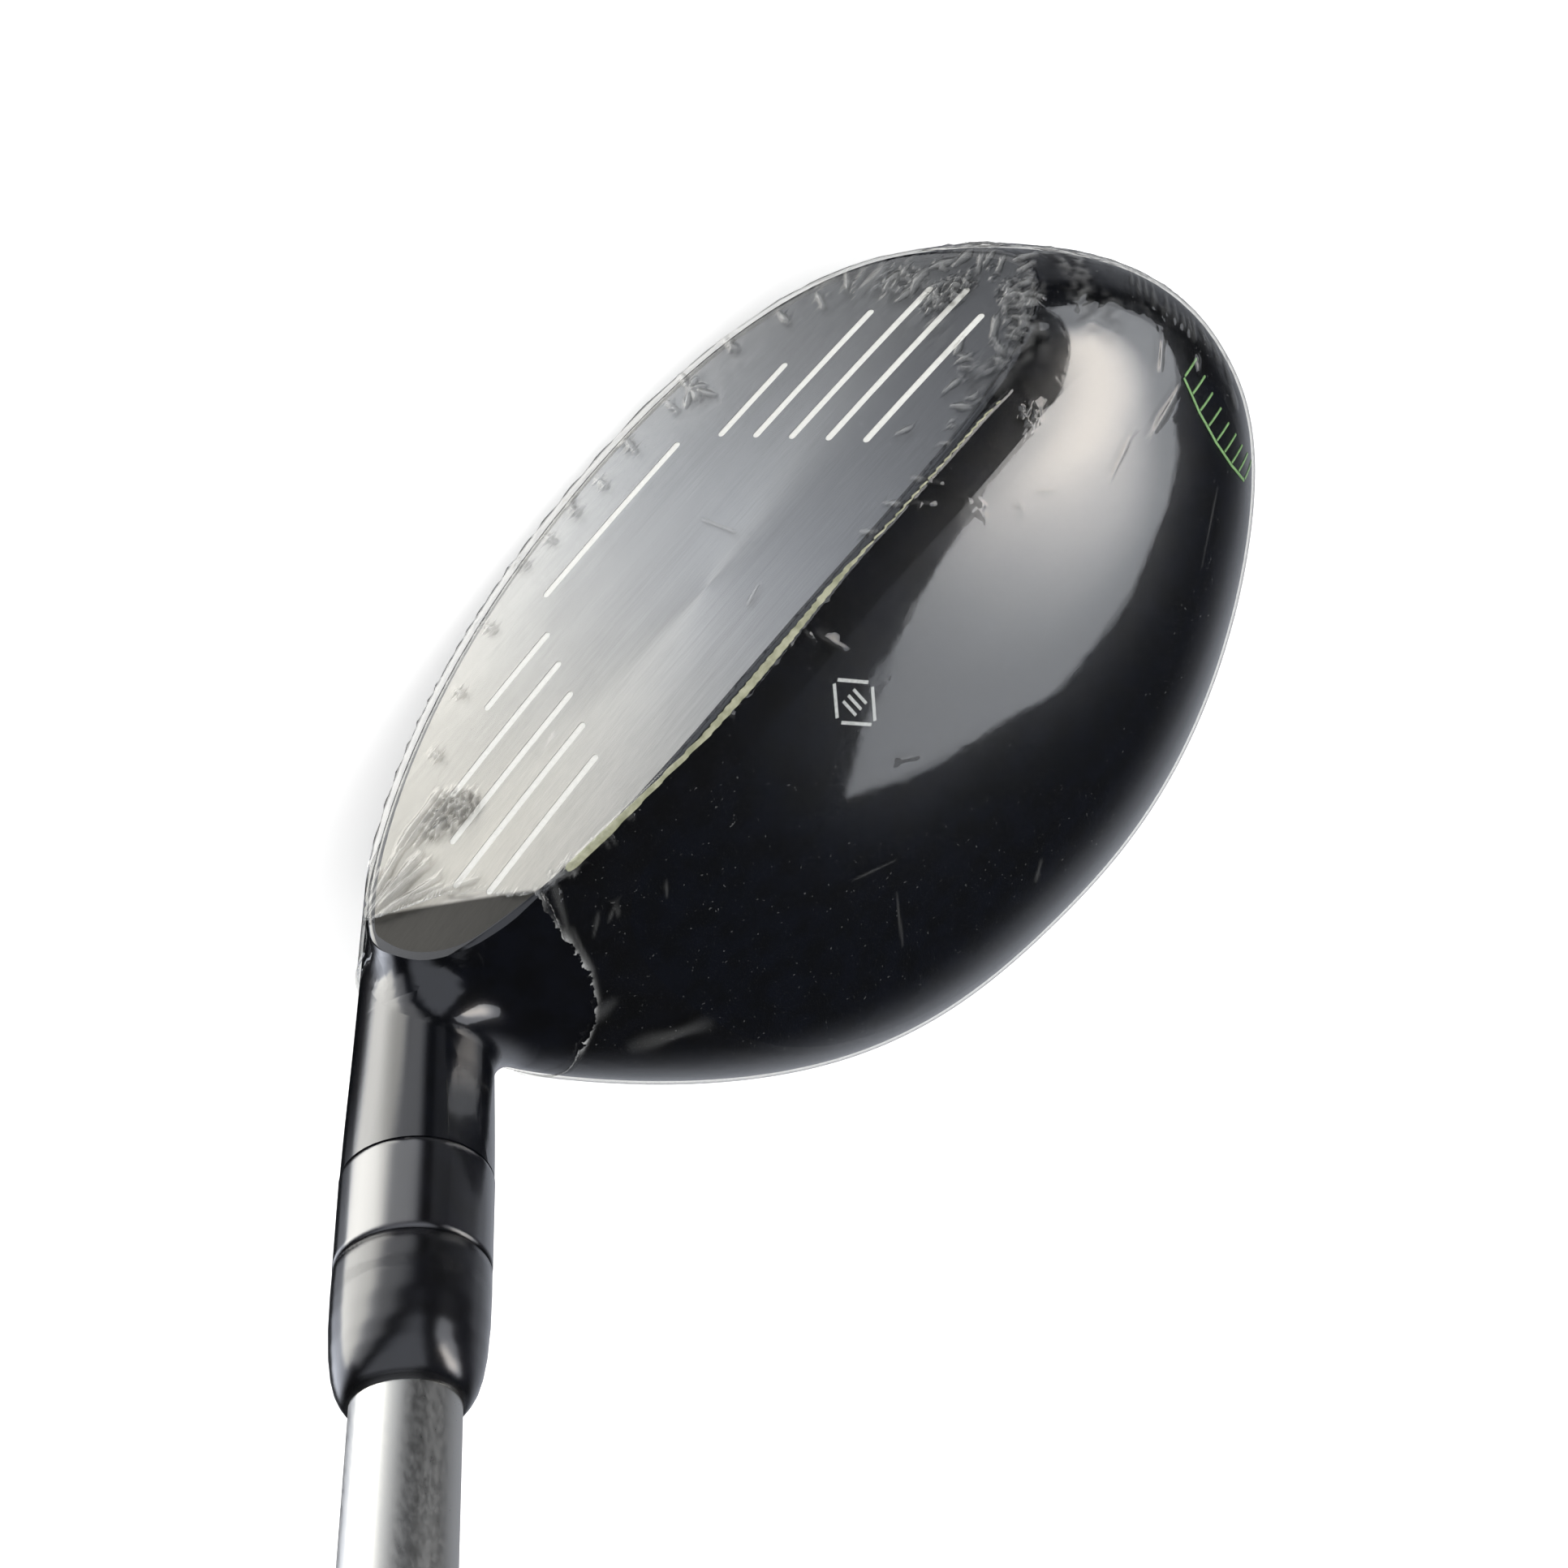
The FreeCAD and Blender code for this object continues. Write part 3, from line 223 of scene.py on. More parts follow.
M = {}
M["body"] = gloss_black("paint_body", (0.0022, 0.0025, 0.0034), 0.05)
M["crown"] = gloss_black("paint_crown", (0.0020, 0.0026, 0.0042), 0.045)
M["ring"] = gloss_black("ring_gloss", (0.004, 0.004, 0.0045), 0.09, 0.006, ior=1.95, round_mm=0.7)
M["ferrule"] = gloss_black("ferrule_gloss", (0.004, 0.004, 0.0045), 0.11, 0.006, round_mm=1.4)


def face_material():
    m, t = material("face_steel")
    geo = t.add("NewGeometry")
    sep = t.add("SeparateXYZ")
    t.put(sep.inputs[0], geo.outputs["Position"])
    x = t.math("MULTIPLY", sep.outputs[0], 1000.0)
    z = t.math("MULTIPLY", sep.outputs[2], 1000.0)
    fine = t.noise(t.coords((0.10, 14.0, 14.0)), 1.0, 3.0, 0.7)
    mid = t.noise(t.coords((0.035, 3.2, 3.2), loc=(5, 2, 9)), 1.0, 2.0, 0.6)
    cloud = t.noise(t.coords((0.6, 1, 1)), 0.10, 3.0, 0.6)
    # painted light and shade: the colour falls off towards the toe and towards the bottom, and the bare steel outside
    # the film is painted darker, standing in for how the light falls on the face
    along = t.ramp(x, -40.0, 30.0, 0.11, 0.56)
    low = t.ramp(z, 29.0, 9.0, 1.16, 0.76)
    off = t.vec("SUBTRACT", geo.outputs["Position"], tuple(CUT_P * MM))
    bare = t.math("ADD", t.math("MULTIPLY", t.vec("DOT_PRODUCT", off, tuple(CUT_N)), 1000.0), 0.40)
    # painted shade: the bare steel past the film's cut edge is darkened to 0.115 of its colour
    under = t.ramp(bare, -0.2, 0.2, 1.0, 0.115)
    shade = t.math("MULTIPLY", t.math("MULTIPLY", along, low), under)
    grain = t.math("ADD", 1.0, t.math("ADD", t.math("MULTIPLY", t.math("SUBTRACT", fine, 0.5), 0.50),
                                      t.math("MULTIPLY", t.math("SUBTRACT", mid, 0.5), 0.26)))
    grain = t.math("ADD", grain, t.math("MULTIPLY", t.math("SUBTRACT", cloud, 0.5), 0.16))
    shade = t.math("MULTIPLY", shade, grain)
    # painted light: the colour turns cream towards the heel, where the light falls brightest
    painted_warm_light = t.mix(t.ramp(x, 0.0, 48.0), rgb(0.60, 0.62, 0.66), rgb(0.76, 0.735, 0.68))
    col = t.vec("SCALE", painted_warm_light, scale=shade)
    rough = t.ramp(fine, 0.25, 0.75, 0.30, 0.44)
    nrm = t.bump(fine, 0.45, 0.010)
    t.output(t.principled(Base_Color=col, Metallic=1.0, Roughness=rough, Anisotropic=0.65, Tangent=FU, Normal=nrm))
    return m


M["face"] = face_material()
M["score"] = plain("score_white", (0.86, 0.86, 0.83), 0.45, 0.006, 2.5, var=0.05)
M["shaft"] = steel("shaft_satin", (0.56, 0.555, 0.53), 0.32, (2.2, 2.2, 0.5), aniso=0.35,
                   tangent=tuple(SA), grain=0.004, var=0.035, blotch=0.05)
M["screw"] = steel("screw_steel", (0.42, 0.42, 0.44), 0.28, (2.0, 2.0, 2.0), grain=0.004, var=0.06)
M["washer"] = steel("washer_steel", (0.60, 0.60, 0.60), 0.24, (3.0, 3.0, 3.0), grain=0.003, var=0.06)
M["clip"] = steel("spring_steel", (0.24, 0.24, 0.26), 0.30, (3.0, 3.0, 3.0), grain=0.003)
M["sleeve"] = steel("sleeve_anodised", (0.07, 0.07, 0.078), 0.34, (4.0, 4.0, 4.0), grain=0.003, var=0.10)
M["nylon"] = plain("washer_nylon", (0.62, 0.61, 0.56), 0.5, 0.006)
M["alloy"] = plain("dense_alloy", (0.30, 0.30, 0.31), 0.5, 0.02, 3.0, metallic=1.0)
M["epoxy"] = plain("epoxy", (0.66, 0.58, 0.36), 0.3, 0.01, 1.0)
M["glue"] = plain("crown_glue", (0.05, 0.05, 0.055), 0.5, 0.01)
M["tape"] = plain("grip_tape", (0.80, 0.78, 0.70), 0.7, 0.02, 1.2)
M["plug"] = plain("plug_plastic", (0.06, 0.06, 0.06), 0.5)
M["mark"] = plain("mark_print", (0.52, 0.54, 0.54), 0.4, 0.003, 4.0, var=0.20)
M["tick"] = plain("tick_print", (0.22, 0.42, 0.16), 0.4, 0.003, 4.0, var=0.25)


def rubber_material(name, base):
    """matte moulded rubber: pebble grain and a little wear sheen"""
    m, t = material(name)
    p = t.coords()
    pebble = t.add("TexVoronoi", feature="F1")
    t.put(pebble.inputs["Vector"], p)
    pebble.inputs["Scale"].default_value = 2.2
    n = t.noise(p, 5.0, 3.0, 0.6)
    h = t.math("ADD", t.math("MULTIPLY", pebble.outputs["Distance"], 0.8), t.math("MULTIPLY", n, 0.5))
    wear = t.ramp(t.noise(p, 0.05, 4.0, 0.6), 0.35, 0.7)
    col = t.mix(wear, rgb(*base), rgb(base[0] * 1.7, base[1] * 1.7, base[2] * 1.65))
    r = t.ramp(wear, 0.0, 1.0, 0.72, 0.56)
    t.output(t.principled(Base_Color=col, Roughness=r, Specular_IOR_Level=0.35, Normal=t.bump(h, 0.6, 0.06)))
    return m


M["grip"] = rubber_material("grip_rubber", (0.022, 0.022, 0.023))
M["cap"] = rubber_material("cap_rubber", (0.018, 0.018, 0.019))

LOOK = {
    "head_body": "body", "crown_shell": "crown", "face_plate": "face", "score_line_paint": "score", "crown_bond": "glue",
    "crown_alignment_mark": "mark", "crown_tick_marks": "tick", "internal_weight": "alloy", "sole_weight_screw": "screw",
    "weight_washer": "nylon", "hosel_bolt": "screw", "bolt_washer": "washer", "ring_clip": "clip", "loft_ring": "ring",
    "adapter_sleeve": "sleeve", "tip_epoxy": "epoxy", "ferrule": "ferrule", "shaft": "shaft", "tip_plug": "plug",
    "grip_tape": "tape", "grip": "grip", "grip_cap": "cap",
}
for node, key in LOOK.items():
    o = NODES[node]
    if not o.material_slots:
        o.data.materials.append(M[key])
    for s in o.material_slots:
        s.link = "OBJECT"
        s.material = M[key]


# ---------------------------------------------------------------- mesh helpers
def arrays(obj):
    """vertices (mm), triangles, and the corner normals of the triangles"""
    me = obj.data
    me.calc_loop_triangles()
    co = np.empty(len(me.vertices) * 3)
    me.vertices.foreach_get("co", co)
    nt_ = len(me.loop_triangles)
    tri = np.empty(nt_ * 3, int)
    me.loop_triangles.foreach_get("vertices", tri)
    lp = np.empty(nt_ * 3, int)
    me.loop_triangles.foreach_get("loops", lp)
    cn = np.empty(len(me.loops) * 3)
    me.corner_normals.foreach_get("vector", cn)
    return co.reshape(-1, 3) * 1000.0, tri.reshape(-1, 3), cn.reshape(-1, 3)[lp].reshape(-1, 3, 3)


class Caster:
    """casts rays at one or more CAD nodes and rounds the facets with their normals"""

    def __init__(self, names):
        vs, ts, ns, base = [], [], [], 0
        for n in names:
            v, t, c = arrays(NODES[n])
            vs.append(v), ts.append(t + base), ns.append(c)
            base += len(v)
        self.v, self.t, self.n = np.concatenate(vs), np.concatenate(ts), np.concatenate(ns)
        self.tree = BVHTree.FromPolygons(self.v.tolist(), self.t.tolist(), all_triangles=True)

    def cast(self, origin, direction):
        hit = np.full((len(origin), 3), np.nan)
        idx = np.full(len(origin), -1)
        for i in range(len(origin)):
            p, n, k, d = self.tree.ray_cast(Vector(origin[i]), Vector(direction[i]))
            if p is not None:
                hit[i], idx[i] = p, k
        ok = idx >= 0
        tv, tn, p = self.v[self.t[idx[ok]]], self.n[idx[ok]], hit[ok]
        e0, e1, e2 = tv[:, 1] - tv[:, 0], tv[:, 2] - tv[:, 0], p - tv[:, 0]
        d00, d01, d11 = (e0 * e0).sum(1), (e0 * e1).sum(1), (e1 * e1).sum(1)
        d20, d21 = (e2 * e0).sum(1), (e2 * e1).sum(1)
        den = np.maximum(d00 * d11 - d01 * d01, 1e-12)
        b, c = (d11 * d20 - d01 * d21) / den, (d00 * d21 - d01 * d20) / den
        w = np.clip(np.stack([1 - b - c, b, c], 1), 0, 1)
        off = ((p[:, None] - tv) * tn).sum(2)
        proj = p[:, None] - off[..., None] * tn
        rounded = (proj * w[..., None]).sum(1)
        move = (rounded - p) * 0.75
        far = np.linalg.norm(move, axis=1) > 0.12
        move[far] = 0
        out, nrm = hit.copy(), np.full((len(origin), 3), np.nan)
        out[ok] = p + move
        nn = (tn * w[..., None]).sum(1)
        nrm[ok] = nn / np.maximum(np.linalg.norm(nn, axis=1), 1e-9)[:, None]
        return out, nrm, ok


def make_object(name, verts_mm, faces, mat, body, smooth=True):
    me = bpy.data.meshes.new(name)
    me.from_pydata((np.asarray(verts_mm) * MM).tolist(), [], faces)
    me.validate()
    if smooth:
        me.polygons.foreach_set("use_smooth", [True] * len(me.polygons))
    me.materials.append(mat)
    o = bpy.data.objects.new(name, me)
    bpy.context.scene.collection.objects.link(o)
    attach(o, body)
    return o


def view_plane(p):
    """where points fall on a plane square to the camera, scaled to mm at 200 mm"""
    q = (p - CAM) @ CAM_R
    return np.stack([q[..., 0] / -q[..., 2], q[..., 1] / -q[..., 2]], -1) * 200.0


def seg_dist(uv, a, b):
    """distance to a segment and the place along it, 0 to 1"""
    d = b - a
    t = np.clip(((uv - a) @ d) / max(float(d @ d), 1e-9), 0, 1)
    return np.linalg.norm(uv - (a + t[:, None] * d), axis=1), t


def smooth01(x, lo, hi):
    t = np.clip((x - lo) / np.maximum(hi - lo, 1e-9), 0, 1)
    return t * t * (3 - 2 * t)


# ---------------------------------------------------------------- shrink film
# Wrinkles drawn on the film: start x, y, z, end x, y, z, width, height (mm).
WRINKLES = [
    (56.7, -14, 15.6, 50.8, -15.1, 14.2, 0.26, 0.3),
    (55.9, -14.2, 15.4, 49.8, -15.1, 14.5, 0.26, 0.3),
    (56.7, -13.9, 16.1, 50.1, -14.4, 16.2, 0.31, 0.36),
    (56.4, -13.9, 16, 49.4, -14.4, 16.6, 0.36, 0.42),
    (55.9, -13.9, 16.3, 49.5, -13.9, 17.8, 0.42, 0.48),
    (56.7, -13.7, 16.5, 49.7, -13.2, 19.8, 0.26, 0.3),
    (55.6, -13.7, 16.8, 50.7, -13.2, 19.5, 0.26, 0.3),
    (55.1, -13.6, 17.2, 50.1, -12.9, 20.6, 0.23, 0.27),
    (56.8, -13.6, 16.8, 49.4, -12.3, 22.3, 0.21, 0.24),
    (56, -14.2, 15.2, 52.9, -15, 13.8, 0.21, 0.24),
    (56.8, -14.1, 15.5, 53.9, -14.8, 14.1, 0.18, 0.21),
    (55.5, -14, 15.9, 51.1, -13.9, 17.5, 0.31, 0.36),
    (50.2, -15.2, 14.1, 43.7, -15.8, 13.9, 0.34, 0.39),
    (49.7, -15, 14.6, 43.1, -15.6, 14.6, 0.26, 0.3),
    (48.7, -14.8, 15.5, 42.7, -15.3, 15.4, 0.26, 0.3),
    (51.6, -13, 20, 47.6, -12.1, 23.3, 0.23, 0.27),
    (53.9, -14, 16.5, 50, -14.2, 16.8, 0.26, 0.3),
    (56.9, -13.9, 15.8, 53, -14.4, 15.6, 0.23, 0.27),
    (45.8, -10.3, 28.5, 46.5, -8.5, 29.1, 0.26, 0.24),
    (44.8, -10.1, 29.1, 46.1, -7.5, 29.3, 0.26, 0.24),
    (42.9, -10.2, 29.2, 46.2, -4, 29.4, 0.31, 0.29),
    (43.2, -9.8, 30.1, 44.4, -7.5, 30.1, 0.26, 0.24),
    (45.4, -5, 29.9, 47.1, 0.3, 29.1, 0.21, 0.19),
    (42.7, -4.4, 30.6, 44.7, -2.7, 30.1, 0.18, 0.17),
    (40.9, -3.9, 30.9, 41.9, -2.4, 30.7, 0.18, 0.17),
    (44.7, -9.6, 29.8, 45.3, -8.6, 29.7, 0.26, 0.24),
    (43.3, -9.9, 29.9, 41.3, -10.1, 29.8, 0.26, 0.24),
    (41.3, -10.1, 29.8, 40.2, -9.5, 30.8, 0.26, 0.24),
    (40.2, -9.5, 30.8, 41.7, -9.3, 30.5, 0.26, 0.24),
    (41.7, -9.3, 30.5, 42.8, -10, 29.8, 0.26, 0.24),
    (37.2, -9.9, 30.9, 37.7, -8.6, 31.3, 0.21, 0.19),
    (36.6, -9.9, 31, 37.1, -8.3, 31.4, 0.21, 0.19),
    (34.3, -10, 31.1, 34.6, -9, 31.7, 0.21, 0.19),
    (34, -9.9, 31.3, 34.3, -8.9, 31.8, 0.21, 0.19),
    (38.1, -10, 30.5, 38, -9.4, 31.2, 0.18, 0.17),
    (-2.8, -10.1, 31.6, -3.7, -9.2, 32.9, 0.2, 0.18),
    (-4.4, -8.8, 32.9, -5.9, -7, 33.2, 0.22, 0.2),
    (0.7, -10.1, 31.8, -0.3, -9.1, 32.9, 0.18, 0.16),
    (-6.3, -9.8, 32, -7.8, -7.7, 33.1, 0.2, 0.18),
    (-8.4, -4.5, 33.6, -9, -1.6, 33.8, 0.2, 0.18),
    (-9.2, -3.6, 33.7, -9.4, -2.5, 33.8, 0.2, 0.18),
    (-10.6, -9.7, 31.7, -11.1, -9.4, 32.4, 0.15, 0.14),
    (-14.5, -10.2, 29.9, -15.3, -9.5, 31.4, 0.26, 0.24),
    (-15.4, -10.8, 28.2, -17.4, -10.6, 28.5, 0.2, 0.18),
    (-9.3, -11.4, 27.6, -10.7, -11.1, 28.3, 0.18, 0.16),
    (-12.6, -9.9, 30.9, -12.7, -9.6, 31.7, 0.15, 0.14),
    (-13.1, -9.9, 30.8, -13.3, -9.8, 31.2, 0.13, 0.12),
    (-19.5, -11.2, 26.4, -19.6, -10.6, 28.1, 0.18, 0.16),
    (-18.9, -11, 27, -20.2, -10.8, 27.5, 0.18, 0.16),
    (-15.9, -9.9, 30.4, -16.4, -9.6, 31.1, 0.18, 0.16),
    (-18.5, -10.8, 27.6, -18.9, -10.5, 28.4, 0.15, 0.14),
    (-22.4, -16.9, 9.6, -20.8, -16.5, 11.3, 0.22, 0.21),
    (-23, -15.4, 14.2, -24.8, -15.1, 14.4, 0.25, 0.23),
    (-22, -14.5, 16.8, -23.7, -14.3, 17.1, 0.22, 0.21),
    (-24.2, -15.3, 14.2, -22.5, -15.2, 14.7, 0.22, 0.21),
    (-25.8, -14.4, 16.3, -23.3, -14.2, 17.4, 0.31, 0.29),
    (-26.8, -14.1, 16.8, -28.8, -13.4, 18.2, 0.28, 0.26),
    (-28.2, -13.3, 18.7, -30.4, -13.1, 18.9, 0.31, 0.29),
    (-24.1, -14.3, 17.1, -26.3, -14.2, 16.6, 0.34, 0.31),
    (-24.7, -14.9, 15, -26, -15, 14.5, 0.22, 0.21),
    (-27.6, -14.1, 16.8, -27.3, -13.5, 18.5, 0.25, 0.23),
    (-30.6, -12.6, 20.1, -28.4, -12.4, 21.3, 0.25, 0.23),
    (-31.3, -12.3, 20.8, -29.6, -12.3, 21.2, 0.25, 0.23),
    (-29.6, -11.7, 22.9, -31.3, -11.8, 22.1, 0.22, 0.21),
    (-31.5, -11.3, 23.3, -33.7, -9.9, 23.3, 0.25, 0.23),
    (-30.6, -10.9, 24.6, -32.2, -10.4, 24.8, 0.25, 0.23),
    (-25.7, -10.2, 27.7, -26.1, -9.6, 29.2, 0.22, 0.21),
    (-26.6, -10.8, 26, -25.7, -10.4, 27.1, 0.22, 0.21),
    (-25, -10.7, 26.5, -22.7, -10.4, 27.9, 0.28, 0.26),
    (-22.7, -10.4, 27.9, -21.7, -9.6, 30, 0.28, 0.26),
    (-20.9, -9.9, 29.4, -20.9, -9.4, 30.7, 0.22, 0.21),
    (-24.5, -10, 28.4, -24.7, -9.6, 29.4, 0.2, 0.18),
    (-23.6, -10, 28.8, -23.8, -9.5, 29.9, 0.2, 0.18),
    (-26.9, -10.3, 27.1, -27.5, -9.9, 28.2, 0.2, 0.18),
    (-21.3, -11.4, 25.5, -19.4, -11.3, 26.2, 0.22, 0.21),
    (-28.9, -9.9, 27.6, -29.2, -9.2, 28.4, 0.2, 0.18),
    (-28, -10, 27.7, -28.3, -9.5, 28.8, 0.2, 0.18),
    (-41, -0.3, 25, -38, -0.8, 28.3, 0.21, 0.13),
    (-41, 1, 26.3, -38.5, 1.1, 28.9, 0.21, 0.13),
    (-41.2, 2.6, 27.1, -38.8, 2.8, 29.4, 0.21, 0.13),
    (-40.9, 4.7, 28.4, -39.3, 5.2, 29.7, 0.23, 0.14),
    (-41.8, 6.4, 28.1, -39.6, 7, 29.8, 0.23, 0.14),
    (-42, 7.8, 28.2, -40.9, 9.5, 29.4, 0.23, 0.14),
    (-41.9, 9.9, 28.7, -41.2, 11.9, 29.2, 0.23, 0.14),
    (-42.3, 12.3, 28.4, -41.2, 14.6, 29.2, 0.23, 0.14),
    (-36.8, 2.9, 30.4, -33.5, 4.5, 31.9, 0.18, 0.11),
    (-34.6, 7.6, 31.9, -28.9, 7.9, 33, 0.26, 0.16),
    (-38.8, 8, 30.4, -37.6, 9, 31, 0.23, 0.14),
    (-40.7, 14.8, 29.5, -39.7, 17, 29.9, 0.23, 0.14),
    (-41.6, -0.2, 23.4, -38.5, -1.6, 27.3, 0.18, 0.11),
    (-41.5, 0.5, 25, -38.5, 0, 28.4, 0.18, 0.11),
    (-41.1, 3.6, 27.7, -39, 4.1, 29.6, 0.21, 0.13),
    (-41.3, 5.5, 28.3, -39.4, 6.4, 29.9, 0.21, 0.13),
    (-3.3, -19.4, 5.3, -4.2, -20.1, 2.9, 0.26, 0.3),
    (-3.3, -19.4, 5.3, -4.3, -19, 6.5, 0.26, 0.3),
    (-3.3, -19.4, 5.3, -2.9, -18.8, 7.2, 0.29, 0.33),
    (-3.3, -19.4, 5.3, -4, -18.4, 8.3, 0.21, 0.24),
    (-3.3, -19.4, 5.3, -1.6, -19.1, 6.5, 0.23, 0.27),
    (-3.3, -19.4, 5.3, -4.7, -19.5, 4.8, 0.23, 0.27),
    (4.7, -20.3, 3.1, 5.2, -19.5, 5.6, 0.26, 0.26),
    (5.4, -20.2, 3.3, 4.7, -20, 4.1, 0.21, 0.21),
    (13.4, -20.3, 3.3, 13.7, -19.7, 5.2, 0.26, 0.26),
    (13.9, -19.9, 4.4, 12.8, -20.3, 3.3, 0.21, 0.21),
    (21.1, -20.3, 3, 21, -19.8, 4.8, 0.23, 0.23),
    (28.3, -19.4, 5.2, 28.1, -18.9, 7, 0.23, 0.23),
    (-9.8, -19.5, 3.9, -9.4, -18.8, 6.3, 0.26, 0.26),
    (-9.1, -19, 5.7, -10.3, -19.4, 4.4, 0.21, 0.21),
    (-15.2, -18.3, 6.8, -14.6, -17.7, 8.8, 0.23, 0.23),
    (-18.9, -17.4, 8.8, -17.9, -16.9, 10.6, 0.23, 0.23),
    (35.1, -18.4, 7.6, 34.9, -17.9, 9, 0.21, 0.21),
    (41.1, -17.2, 9.9, 41.1, -16.7, 11.5, 0.23, 0.23),
    (-0.9, -19.9, 4, -0.7, -19.2, 6.1, 0.21, 0.21),
    (17.5, -20.1, 3.7, 17.4, -19.6, 5.5, 0.21, 0.21),
    (9.7, -20, 4, 9.9, -19.5, 5.9, 0.21, 0.21),
    (50.5, 11.4, 27.2, 44.3, 15, 29.3, 0.63, 0.13),
    (53.4, 4.8, 26.7, 48.3, 5, 28.6, 0.63, 0.13),
    (41.3, -3.7, 30.9, 42.8, -2.8, 30.6, 0.15, 0.05),
    (36.6, -1.6, 31.7, 37.6, -0.2, 31.5, 0.15, 0.05),
    (8.3, 35.3, 30.6, 10.2, 37, 30.2, 0.15, 0.05),
    (13.1, 9.3, 33.1, 11.4, 10.9, 33.1, 0.15, 0.05),
    (24.4, 15.3, 32.3, 19.8, 18, 32.3, 0.09, 0.03),
    (22.1, 21.1, 31.9, 25.4, 27.2, 31, 0.11, 0.04),
    (-26.4, 5.8, 33.3, -21.7, 7, 33.7, 0.13, 0.04),
    (-31.9, 19.9, 32, -25.1, 25.1, 32.3, 0.07, 0.02),
    (12.4, -11.9, 27.8, 10.2, -12.1, 27.3, 0.11, 0.04),
    (7.7, -15.6, 17.7, 7.1, -14.2, 21.4, 0.11, 0.04),
    (-14.3, 0.8, 33.9, -16.2, 2.5, 33.9, 0.11, 0.04),
    (-12.3, 0.2, 33.9, -12.2, 1.3, 33.9, 0.13, 0.04),
    (9.7, -4.2, 33.3, 10.6, -7.5, 33, 0.2, 0.18),
    (11.2, -8.8, 32.9, 11.2, -7.1, 33.1, 0.15, 0.14),
    (13.6, -9.8, 32.7, 13.1, -8.6, 32.9, 0.18, 0.16),
    (21.6, -9.8, 32.5, 21.4, -8.4, 32.7, 0.18, 0.16),
]
# points along the top line of the face: a slightly raised folded-over ridge of film, carrying a painted reflection
FOLD_AND_REFLECTION_LINE = [(41.5, -9.8, 30.4), (38.1, -9.8, 31.1), (34.6, -9.7, 31.6), (29.5, -9.5, 32.1), (24.4, -9.2, 32.5), (18.8, -9.2, 32.7), (13, -9.3, 32.8), (8.3, -9.4, 32.8), (4.8, -9.4, 32.8), (1.4, -9.3, 32.9), (-2, -9.1, 32.9), (-6.1, -9, 32.9), (-10.8, -8.7, 32.7), (-15.1, -8.4, 32.4), (-19.2, -7.8, 32.1)]
# crumpled patches and blisters: centre, radius, height (mm)
PATCHES = [((-18.9, -4.9, 32.9), 1.7, 0.30), ((44.4, -14.9, 16.2), 2.9, 0.36), ((46.2, -14.6, 15.6), 2.2, 0.30), ((42.9, -14.7, 17.3), 2.0, 0.30),
           ((-24.9, -13.0, 20.4), 2.6, 0.34), ((-23.5, -13.3, 20.0), 1.8, 0.30), ((-26.6, -12.7, 20.9), 2.0, 0.30),
           ((41.5, -9.8, 30.4), 1.2, 0.25), ((-28.5, -10.5, 26.0), 2.6, 0.24)]
BLISTERS = [((-28.6, -12.5, 20.8), 0.55, 0.20), ((-29.6, -12.0, 22.1), 0.45, 0.18), ((-28.7, -11.7, 23.2), 0.5, 0.20), ((-26.9, -12.3, 22.0), 0.5, 0.18),
            ((-28.9, -10.1, 27.2), 0.45, 0.16), ((-28.1, -9.7, 28.3), 0.45, 0.16), ((-30.1, 1.0, 32.3), 0.35, 0.10), ((-32.7, -5.2, 29.2), 0.3, 0.10),
            ((33.2, -14.0, 20.8), 0.6, 0.10)]



def field(p, scale, seed, octaves=2):
    """signed noise at each point"""
    out = np.empty(len(p))
    off = Vector((seed * 17.3, seed * 5.1, seed * 9.7))
    for i, v in enumerate(p * scale):
        q = Vector(v) + off
        s = noise.noise(q)
        if octaves > 1:
            s += 0.5 * noise.noise(q * 2.1 + off)
        out[i] = s
    return out


